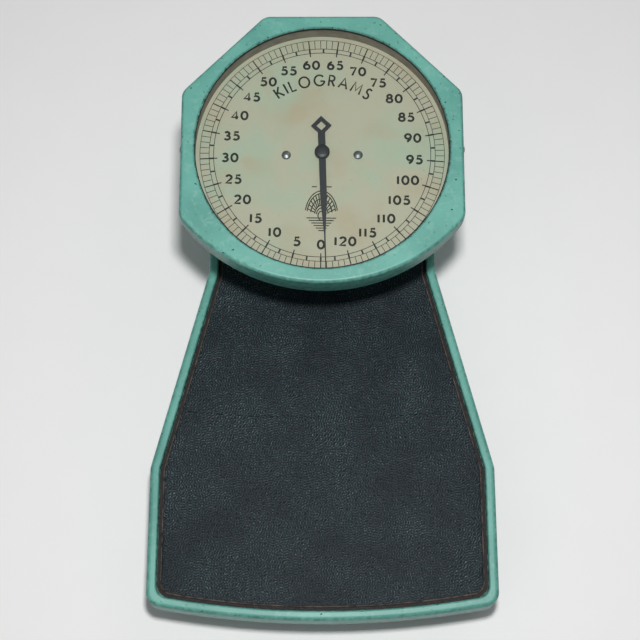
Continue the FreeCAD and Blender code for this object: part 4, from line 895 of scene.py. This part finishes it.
GLYPHS: Mapping[str, Glyph] = {
    "0": Glyph(0.62, ((Arc(0.31, 0.5, 0.29, 0.5, 90, 450, 24),),)),
    "1": Glyph(0.2, (((0.1, 0), (0.1, 1)),)),
    "2": Glyph(0.58, ((Arc(0.29, 0.72, 0.26, 0.28, 165, -38), (0.03, 0), (0.58, 0)),)),
    "3": Glyph(0.56, ((Arc(0.26, 0.76, 0.22, 0.24, 150, -90), (0.2, 0.52)),
                      ((0.2, 0.52), Arc(0.26, 0.26, 0.27, 0.26, 90, -150)))),
    "4": Glyph(0.64, (((0.48, 0), (0.48, 1), (0.02, 0.27), (0.64, 0.27)),)),
    "5": Glyph(0.56, (((0.52, 1), (0.16, 1), (0.1, 0.56),
                       Arc(0.26, 0.31, 0.28, 0.31, 125, -145)),)),
    "6": Glyph(0.58, ((Arc(0.29, 0.3, 0.27, 0.3, 0, 360, 20),),
                      (Arc(0.62, 0.28, 0.6, 0.76, 176, 112),))),
    "7": Glyph(0.56, (((0, 1), (0.56, 1), (0.2, 0)),)),
    "8": Glyph(0.56, ((Arc(0.28, 0.76, 0.21, 0.24, 0, 360, 18),),
                      (Arc(0.28, 0.26, 0.27, 0.27, 0, 360, 20),))),
    "9": Glyph(0.58, ((Arc(0.29, 0.7, 0.27, 0.3, 0, 360, 20),),
                      (Arc(-0.04, 0.72, 0.6, 0.76, -4, -68),))),
    "K": Glyph(0.56, (((0, 0), (0, 1)), ((0.52, 1), (0.02, 0.42)), ((0.16, 0.58), (0.56, 0)))),
    "I": Glyph(0.02, (((0, 0), (0, 1)),)),
    "L": Glyph(0.42, (((0, 1), (0, 0), (0.42, 0)),)),
    "O": Glyph(0.9, ((Arc(0.45, 0.5, 0.45, 0.5, 90, 450, 28),),)),
    "G": Glyph(0.86, ((Arc(0.45, 0.5, 0.45, 0.5, 42, 345, 26), (0.86, 0.42), (0.52, 0.42)),)),
    "R": Glyph(0.5, (((0, 0), (0, 1), (0.22, 1), Arc(0.22, 0.75, 0.24, 0.25, 90, -90), (0, 0.5)),
                     ((0.22, 0.5), (0.5, 0)))),
    "A": Glyph(0.74, (((0, 0), (0.37, 1), (0.74, 0)), ((0.13, 0.34), (0.61, 0.34)))),
    "M": Glyph(0.84, (((0, 0), (0.1, 1), (0.42, 0.22), (0.74, 1), (0.84, 0)),)),
    "S": Glyph(0.46, ((Arc(0.24, 0.76, 0.2, 0.24, 40, 250),
                       Arc(0.22, 0.25, 0.23, 0.25, 70, -150)),)),
}


def place_line(line: Iterable[Point], scale: float, turn: float, shift: Point) -> list[Point]:
    """Scale, turn and move a line of points on the flat.

    Args:
        line: The points.
        scale: How much larger they become.
        turn: The angle in radians, anticlockwise.
        shift: Where the line's origin goes.

    Returns:
        The placed points.
    """
    cosine, sine = math.cos(turn), math.sin(turn)
    return [(shift[0] + scale * (across * cosine - up * sine),
             shift[1] + scale * (across * sine + up * cosine)) for across, up in line]


def stroke_mesh(lines: Sequence[Sequence[Point]], width: float, thickness: float
                ) -> bpy.types.Object:
    """Flat printed strokes of even width along lines of points.

    Args:
        lines: The middle of each stroke.
        width: Stroke width in metres.
        thickness: How far the ink stands off the dial.

    Returns:
        A mesh object lying on the XY plane.
    """
    curve = bpy.data.curves.new("strokes", "CURVE")
    curve.dimensions = "3D"
    curve.bevel_depth = width / 2
    curve.bevel_resolution = 0
    curve.use_fill_caps = True
    curve.twist_mode = "Z_UP"
    for line in lines:
        closed = len(line) > 2 and math.dist(line[0], line[-1]) < width / 10
        points = line[:-1] if closed else line
        spline = curve.splines.new("POLY")
        spline.points.add(len(points) - 1)
        for point, (across, along) in zip(spline.points, points):
            point.co = (across, along, 0, 1)
        spline.use_cyclic_u = closed
    drawn = bpy.data.objects.new("strokes", curve)
    bpy.context.scene.collection.objects.link(drawn)
    pick(drawn)
    bpy.ops.object.convert(target="MESH")
    made = bpy.context.object
    made.data.transform(Matrix.Diagonal((1, 1, thickness / width, 1)))
    return made


# ------------------------------------------------------------------ printed dial
class Track(Enum):
    """The rows of marks round the dial: inner and outer radius, width and count."""

    UNITS = (83.5 * MM, 90.3 * MM, 0.5 * MM, 125)
    HALVES = (80.2 * MM, 83.5 * MM, 1.25 * MM, 50)
    FIVES = (77.4 * MM, 90.3 * MM, 0.85 * MM, 25)


@dataclass(frozen=True)
class Fan:
    """The ornament's sizes, as shares of its scale, and its spans in degrees."""

    foot: float = -0.3
    squeeze: float = 0.62
    arcs: tuple[float, ...] = (0.34, 0.46, 0.74, 0.98, 1.1)
    arc_span: Point = (12, 168)
    rays: int = 13
    ray_span: Point = (18, 162)
    ray_reach: Point = (0.46, 0.98)
    hub: Point = (0.14, 0.2)
    steps: int = 6
    tread: float = 0.1
    riser: float = 0.11
    wings: Point = (0.2, 0.42)
    scale: float = 17.5 * MM
    drop: float = 43.5 * MM
    stroke: float = 0.8 * MM


@dataclass
class DialPrint:
    """What is printed on the dial: circles, marks, numbers, a word and an ornament."""

    plane: DialPlane
    surface: float
    ink: float = 0.03 * MM
    divisions: int = 125
    number_step: int = 5
    last_number: int = 120
    number_edge: float = 74.6 * MM
    number_height: float = 6.0 * MM
    number_stretch: float = 1.28
    number_stroke: float = 1.65 * MM
    number_gap: float = 0.38
    turn: float = math.radians(-0.75)
    circles: tuple[Point, ...] = ((90.3 * MM, 0.4 * MM), (83.5 * MM, 0.45 * MM),
                                  (80.2 * MM, 0.5 * MM))
    circle_sides: int = 180
    word: str = "KILOGRAMS"
    word_radius: float = 53.8 * MM
    word_height: float = 8.4 * MM
    word_stroke: float = 1.4 * MM
    word_span: float = math.radians(74)
    fan: Fan = Fan()

    def build(self) -> None:
        """Print every part of the dial."""
        self.hand_over_print("dial_print_circles", self.rings(), INK)
        for track in Track:
            finish = FAINT_INK if track is Track.UNITS else INK
            self.hand_over_print(f"dial_print_{track.name.lower()}", self.marks(track), finish)
        self.hand_over_print("dial_print_numbers", self.numbers(), INK)
        self.hand_over_print("dial_print_word", self.unit_word(), INK)
        self.hand_over_print("dial_print_ornament", self.ornament(), FAINT_INK)

    def hand_over_print(self, name: str, piece: bpy.types.Object, finish: Finish) -> None:
        """Lay one flat print on the dial.

        Args:
            name: The print's name.
            piece: The print, drawn flat about the dial's centre.
            finish: Its ink.
        """
        hand_over(piece, Fitting(name, "base", "dial_enamel"), [finish],
                  self.plane.at(self.surface + self.ink / 2)
                  @ Matrix.Rotation(self.turn, 4, "Z"))

    def rings(self) -> bpy.types.Object:
        """Print the thin circles that bound the tracks.

        Returns:
            The circles as one object.
        """
        made = []
        for radius, width in self.circles:
            clear_selection()
            bpy.ops.mesh.primitive_circle_add(vertices=self.circle_sides,
                                              radius=radius - width / 2, fill_type="NOTHING")
            ring = bpy.context.object
            edit_all(ring)
            bpy.ops.mesh.extrude_edges_move()
            grown = (radius + width / 2) / (radius - width / 2)
            bpy.ops.transform.resize(value=(grown, grown, 1))
            bpy.ops.mesh.select_all(action="SELECT")
            bpy.ops.mesh.normals_make_consistent(inside=False)
            leave_edit()
            apply_modifier(ring, "SOLIDIFY", thickness=self.ink, offset=0)
            made.append(ring)
        return join(made)

    def marks(self, track: Track) -> bpy.types.Object:
        """Print one mark at the foot of the dial and spin it into a full row.

        Args:
            track: The row to print.

        Returns:
            The row as one object.
        """
        inner, outer, width, count = track.value
        clear_selection()
        bpy.ops.mesh.primitive_cube_add(size=1, location=(0, -(inner + outer) / 2, 0),
                                        scale=(width, outer - inner, self.ink))
        mark = bpy.context.object
        pick(mark)
        bpy.ops.object.transform_apply(location=True, rotation=True, scale=True)
        edit_all(mark)
        bpy.ops.mesh.spin(steps=count - 1, dupli=True, angle=math.tau * (count - 1) / count,
                          center=(0, 0, 0), axis=(0, 0, 1))
        leave_edit()
        return mark

    def bearing(self, value: float) -> float:
        """The angle from the foot of the dial to a number, clockwise."""
        return math.tau * value / self.divisions

    def numbers(self) -> bpy.types.Object:
        """Print upright numbers round the dial, each centred on its own mark.

        Returns:
            The numbers as one object.
        """
        lines: list[list[Point]] = []
        for value in range(0, self.last_number + 1, self.number_step):
            glyphs = [GLYPHS[digit] for digit in str(value)]
            width = (sum(glyph.width for glyph in glyphs) * self.number_stretch
                     + self.number_gap * (len(glyphs) - 1)) * self.number_height
            angle = self.bearing(value)
            reach = self.number_edge - math.hypot(
                (width + self.number_stroke) / 2 * math.sin(angle),
                (self.number_height + self.number_stroke) / 2 * math.cos(angle))
            start = -reach * math.sin(angle) - width / 2
            foot = -reach * math.cos(angle) - self.number_height / 2
            for glyph in glyphs:
                wide = [[(across * self.number_stretch, up) for across, up in line]
                        for line in glyph.lines()]
                lines += [place_line(line, self.number_height, 0, (start, foot))
                          for line in wide]
                start += (glyph.width * self.number_stretch + self.number_gap
                          ) * self.number_height
        return stroke_mesh(lines, self.number_stroke, self.ink)

    def unit_word(self) -> bpy.types.Object:
        """Print the unit's name on an arc over the pointer.

        Returns:
            The word as one object.
        """
        glyphs = [GLYPHS[letter] for letter in self.word]
        inked = sum(glyph.width for glyph in glyphs) * self.word_height
        gap = (self.word_span * self.word_radius - inked) / (len(glyphs) - 1)
        lines: list[list[Point]] = []
        travelled = 0.0
        for glyph in glyphs:
            half = glyph.width * self.word_height / 2
            angle = self.word_span / 2 - (travelled + half) / self.word_radius
            shift = (-self.word_radius * math.sin(angle) - half * math.cos(angle),
                     self.word_radius * math.cos(angle) - half * math.sin(angle))
            lines += [place_line(line, self.word_height, angle, shift)
                      for line in glyph.lines()]
            travelled += 2 * half + gap
        return stroke_mesh(lines, self.word_stroke, self.ink)

    def ornament(self) -> bpy.types.Object:
        """Print a fan of rays and arcs on a stepped foot, under the pointer.

        Returns:
            The ornament as one object.
        """
        fan = self.fan
        lines = [Arc(0, fan.foot, fan.squeeze * reach, reach, *fan.arc_span, 16).points()
                 for reach in fan.arcs]
        first, last = fan.ray_span
        for number in range(fan.rays):
            angle = math.radians(first + (last - first) * number / (fan.rays - 1))
            lines.append([(fan.squeeze * reach * math.cos(angle),
                           fan.foot + reach * math.sin(angle)) for reach in fan.ray_reach])
        lines.append(Arc(0, fan.foot, *fan.hub, 0, 360, 16).points())
        for step in range(fan.steps):
            half = fan.squeeze - fan.tread * step
            up = fan.foot - fan.tread - fan.riser * step
            lines.append([(-half, up), (half, up)])
        for side in (-1, 1):
            lines.append([(inset * side, fan.ray_reach[1]) for inset in fan.wings])
        placed = [place_line(line, fan.scale, 0, (0, -fan.drop)) for line in lines]
        return stroke_mesh(placed, fan.stroke, self.ink)


# ------------------------------------------------------------------ ribbed mat
@dataclass
class RibbedMat:
    """The platform's rubber mat: fine wavy ribs on top, a canvas-backed edge, a black bed in the
    gap round it.
    """

    node: bpy.types.Object
    rib_pitch: float = 1.85 * MM
    chevron: float = 0.45 * MM
    chevron_pitch: float = 3.4 * MM
    rib_depth: float = 0.55 * MM
    step: float = 0.62 * MM
    halves: tuple[tuple[str, float, float], ...] = (("front", 0.0, 0.5), ("rear", 0.5, 1.0))
    band: float = 0.16
    sharpening: float = 1.6
    rounds: int = 10
    samples: int = 6
    rim_rise: float = 0.35
    edge: float = 1.0 * MM
    edge_drop: float = 0.7 * MM
    edge_ease: float = 0.3 * MM
    bed_reach: float = 2.3 * MM
    bed_rise: float = 0.7 * MM
    tile: int = 768
    seed: int = 7

    def build(self) -> None:
        """Model the bed with the mat's edge, then the ribbed top in two halves."""
        low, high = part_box(self.node.name)
        hand_over(join([self.backing(high), self.bed(low)]),
                  Fitting("rubber_mat_edge", "platform", "black_rubber", ("rubber_mat",)))
        rubber = RibbedRubber("ribbed_mat_rubber", top_level=high.z, relief=self.rib_depth)
        for name, start, end in self.halves:
            hand_over(self.ribbed_top(low, high, start, end),
                      Fitting(f"rubber_mat_{name}", "platform", "black_rubber"), [rubber])

    def body(self) -> bpy.types.Object:
        """Copy the mat's own body and clean its mesh.

        Returns:
            The copy.
        """
        body = copy_of(self.node)
        body.parent = None
        edit_all(body)
        bpy.ops.mesh.remove_doubles(threshold=1e-5)
        bpy.ops.mesh.dissolve_limited(angle_limit=math.radians(1))
        bpy.ops.mesh.normals_make_consistent(inside=False)
        leave_edit()
        return body

    def backing(self, high: Vector) -> bpy.types.Object:
        """Model the mat's plain body, a little lower than the ribs, with an eased edge.

        Args:
            high: Highest corner of the mat's box.

        Returns:
            The body.
        """
        body = self.body()
        for vertex in body.data.vertices:
            if vertex.co.z > high.z - self.edge_drop / 2:
                vertex.co.z = high.z - self.edge_drop
        apply_modifier(body, "BEVEL", width=self.edge_ease, segments=2, limit_method="ANGLE",
                       angle_limit=math.radians(60))
        body.data.materials.clear()
        body.data.materials.append(CANVAS.material())
        return body

    def bed(self, low: Vector) -> bpy.types.Object:
        """Model a black bed in the groove between mat and tray, which darkens the gap.

        Args:
            low: Lowest corner of the mat's box.

        Returns:
            The bed.
        """
        bed = self.body()
        select_faces(bed, lambda face: abs(face.normal.z) < 0.5)
        bpy.ops.mesh.extrude_region_shrink_fatten(
            TRANSFORM_OT_shrink_fatten={"value": self.bed_reach, "use_even_offset": True})
        leave_edit()
        for vertex in bed.data.vertices:
            if vertex.co.z > low.z + self.bed_rise:
                vertex.co.z = low.z + self.bed_rise
        bed.data.materials.clear()
        bed.data.materials.append(GAP_BLACK.material())
        return bed

    def outline(self) -> tuple[Profile, Profile]:
        """Read the mat's outline off its corners.

        Returns:
            Its half width along its length, and its front edge across its width.
        """
        corners = np.array([vertex.co for vertex in self.node.data.vertices])
        right = corners[corners[:, 0] > -1e-6]
        widest = right[:, 0].max()
        shoulder = right[right[:, 0] > widest - 1e-6][:, 1].min()
        side = right[right[:, 1] > shoulder - 1e-6]
        side = side[np.lexsort((side[:, 0], side[:, 1]))]
        front = right[right[:, 1] < shoulder + 1e-6]
        front = front[np.argsort(front[:, 0])]
        levels = np.unique(np.round(side[:, 1], 6))
        halves = np.array([side[np.abs(side[:, 1] - level) < 2e-6][:, 0].max()
                           for level in levels])
        return (lambda along: np.interp(along, levels, halves),
                lambda across: np.interp(np.abs(across), front[:, 0], front[:, 1]))

    def labyrinth(self) -> np.ndarray:
        """Grow a maze of short ribs of even pitch.

        Returns:
            A tile of heights from nought to one, which repeats without a seam.
        """
        field = np.random.default_rng(self.seed).standard_normal((self.tile, self.tile))
        sample = self.rib_pitch / self.samples
        rates = np.fft.fftfreq(self.tile, sample)
        reach = np.hypot(rates[None, :], rates[:, None]) * self.rib_pitch
        band = np.exp(-((reach - 1) / self.band) ** 2)
        for _ in range(self.rounds):
            field = np.fft.ifft2(np.fft.fft2(field) * band).real
            field = np.tanh(self.sharpening * field / field.std())
        return (field - field.min()) / (field.max() - field.min())

    def relief(self, across: np.ndarray, along: np.ndarray) -> np.ndarray:
        """Find the ribs' height at points of the mat, between samples of the tile.

        Args:
            across: The points' places across the mat.
            along: The points' places along the mat.

        Returns:
            Heights from nought to one.
        """
        tile = self.labyrinth()
        sample = self.rib_pitch / self.samples
        zigzags = [self.chevron * 2 * np.abs(2 * (way / self.chevron_pitch % 1) - 1)
                   for way in (along, across)]
        columns, rows = (across + zigzags[0]) / sample, (along + zigzags[1]) / sample
        left, low = np.floor(columns).astype(int), np.floor(rows).astype(int)
        right_share, up_share = columns - left, rows - low
        total = np.zeros_like(across)
        for right, column_share in ((0, 1 - right_share), (1, right_share)):
            for up, row_share in ((0, 1 - up_share), (1, up_share)):
                total += tile[(low + up) % self.tile, (left + right) % self.tile] * (
                    column_share * row_share)
        return total

    def ribbed_top(self, low: Vector, high: Vector, start: float, end: float
                   ) -> bpy.types.Object:
        """A grid fitted to part of the mat's outline, raised into ribs and closed below.

        Args:
            low: Lowest corner of the mat's box.
            high: Highest corner of the mat's box.
            start: Share of the mat's length where the grid starts.
            end: Share of the mat's length where the grid ends.

        Returns:
            The ribbed piece.
        """
        half_at, front_at = self.outline()
        length = high.y - low.y
        widest = half_at(np.array([low.y + start * length]))[0]
        columns = int(2 * widest / self.step)
        rows = int(length * (end - start) / self.step)
        clear_selection()
        bpy.ops.mesh.primitive_grid_add(x_subdivisions=columns, y_subdivisions=rows, size=2)
        top = bpy.context.object
        places = np.empty(len(top.data.vertices) * 3)
        top.data.vertices.foreach_get("co", places)
        places = places.reshape(-1, 3)
        share, way = places[:, 0].copy(), (places[:, 1].copy() + 1) / 2
        way = start + way * (end - start)
        # A quarter of the way along, the mat has its full width, which the front edge spans.
        full_half = half_at(np.array([low.y + length / 4]))[0]
        front = front_at(share * full_half) + self.edge
        along = front + way * (high.y - self.edge - front)
        across = share * (half_at(along) - self.edge)
        rise = self.relief(across, along)
        rim = np.maximum(np.abs(share), np.abs(2 * way - 1)) > 1 - 1e-6
        rise[rim] = self.rim_rise
        places[:, 0], places[:, 1] = across, along
        places[:, 2] = high.z - self.rib_depth * (1 - rise)
        top.data.vertices.foreach_set("co", places.ravel())
        top.data.update()
        edit_all(top)
        bpy.ops.mesh.select_all(action="DESELECT")
        bpy.ops.mesh.select_mode(type="EDGE")
        bpy.ops.mesh.select_non_manifold()
        bpy.ops.mesh.extrude_edges_move(TRANSFORM_OT_translate={"value": (0, 0, -self.edge)})
        bpy.ops.mesh.edge_face_add()
        bpy.ops.mesh.select_all(action="SELECT")
        bpy.ops.mesh.normals_make_consistent(inside=False)
        leave_edit()
        smooth(top, 70)
        return top


# ------------------------------------------------------------------ window
@dataclass
class WindowPutty:
    """A thin black ring on the glass under the window's edge: painted shade for the gap between
    bezel and glass, modelled as a bead.
    """

    plane: DialPlane
    level: float
    radius: float = 92.95 * MM
    bead: float = 0.3 * MM

    def build(self) -> bpy.types.Object:
        """Model the bead as a thin ring.

        Returns:
            The ring.
        """
        clear_selection()
        bpy.ops.mesh.primitive_torus_add(major_radius=self.radius, minor_radius=self.bead,
                                         major_segments=160, minor_segments=8)
        ring = bpy.context.object
        smooth(ring, 60)
        return hand_over(ring, Fitting("window_edge_shade_ring", "base", "foot_rubber"), [GAP_BLACK],
                         self.plane.at(self.level + self.bead))


# ------------------------------------------------------------------ studio
@dataclass(frozen=True)
class Viewpoint:
    """Camera above the front of the platform, looking down and towards the head."""

    place: tuple[float, float, float] = (0.76 * MM, -359.5 * MM, 1145.7 * MM)
    down: float = 71.213
    swing: float = 0.392
    roll: float = -0.409
    lens: float = 84.375
    sensor: float = 36.0

    def build(self) -> None:
        """Create the camera and make it the scene's own."""
        data = bpy.data.cameras.new("camera")
        data.lens, data.sensor_width = self.lens, self.sensor
        camera = bpy.data.objects.new("camera", data)
        bpy.context.scene.collection.objects.link(camera)
        turn = (Matrix.Rotation(math.radians(self.swing), 4, "Z")
                @ Matrix.Rotation(math.radians(90 - self.down), 4, "X")
                @ Matrix.Rotation(math.radians(self.roll), 4, "Z"))
        camera.matrix_world = Matrix.Translation(self.place) @ turn
        bpy.context.scene.camera = camera


@dataclass(frozen=True)
class Lamp:
    """A square soft light: where it is, where it points, how large and how strong."""

    name: str
    place: tuple[float, float, float]
    target: tuple[float, float, float]
    size: float
    power: float

    def build(self) -> None:
        """Create the light."""
        data = bpy.data.lights.new(self.name, "AREA")
        data.size, data.energy = self.size, self.power
        lamp = bpy.data.objects.new(self.name, data)
        bpy.context.scene.collection.objects.link(lamp)
        lamp.location = self.place
        aim = Vector(self.target) - Vector(self.place)
        lamp.rotation_euler = aim.to_track_quat("-Z", "Y").to_euler()


@dataclass(frozen=True)
class Studio:
    """Plain pale floor and soft light: a key nearly overhead and a broad fill."""

    floor_size: float = 6.0
    sky: float = 0.17
    lamps: tuple[Lamp, ...] = (
        Lamp("key", (0.03, -0.17, 1.25), (0, 0, 0.05), 0.09, 10.6),
        Lamp("fill", (-0.9, -0.9, 1.5), (0, 0, 0.05), 1.2, 1.6),
        Lamp("rim", (0.8, 1.1, 1.3), (0, 0.05, 0.1), 1.0, 1.2),
    )

    def build(self) -> None:
        """Lay the floor, light the world and hang the lamps."""
        clear_selection()
        bpy.ops.mesh.primitive_plane_add(size=self.floor_size)
        floor = bpy.context.object
        floor.name = "floor"
        floor.data.materials.append(FLOOR.material())
        world = bpy.data.worlds.new("studio")
        world.use_nodes = True
        world.node_tree.nodes.clear()
        sky = add_node(world.node_tree, "Background", {"Color": linear("f4f6f8"),
                                                       "Strength": self.sky})
        add_node(world.node_tree, "OutputWorld", links={"Surface": sky.outputs[0]})
        bpy.context.scene.world = world
        bpy.context.scene.view_settings.view_transform = "Standard"
        for lamp in self.lamps:
            lamp.build()


def dress_frame(nodes: Mapping[str, bpy.types.Object]) -> None:
    """Give every node of the frame its finish.

    Args:
        nodes: The frame's nodes by name.
    """
    for finish, names in FRAME_FINISHES.items():
        for name in names:
            piece = nodes[name]
            for slot in piece.material_slots:
                slot.material = finish.material()
            if not piece.material_slots:
                piece.data.materials.append(finish.material())
    LOG.info("%d nodes dressed", sum(len(names) for names in FRAME_FINISHES.values()))


def main() -> None:
    """Build the looks round the frame, piece by piece."""
    logging.basicConfig(level=logging.INFO, format="%(message)s")
    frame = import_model()
    nodes = frame["nodes"]
    plane = DialPlane.from_frame(frame)
    Studio().build()
    Viewpoint().build()
    dress_frame(nodes)
    RibbedMat(nodes["rubber_mat"]).build()
    DialPrint(plane, plane.level(nodes["dial_plate"])).build()
    WindowPutty(plane, plane.level(nodes["dial_glass"])).build()


if __name__ == "__main__":
    main()
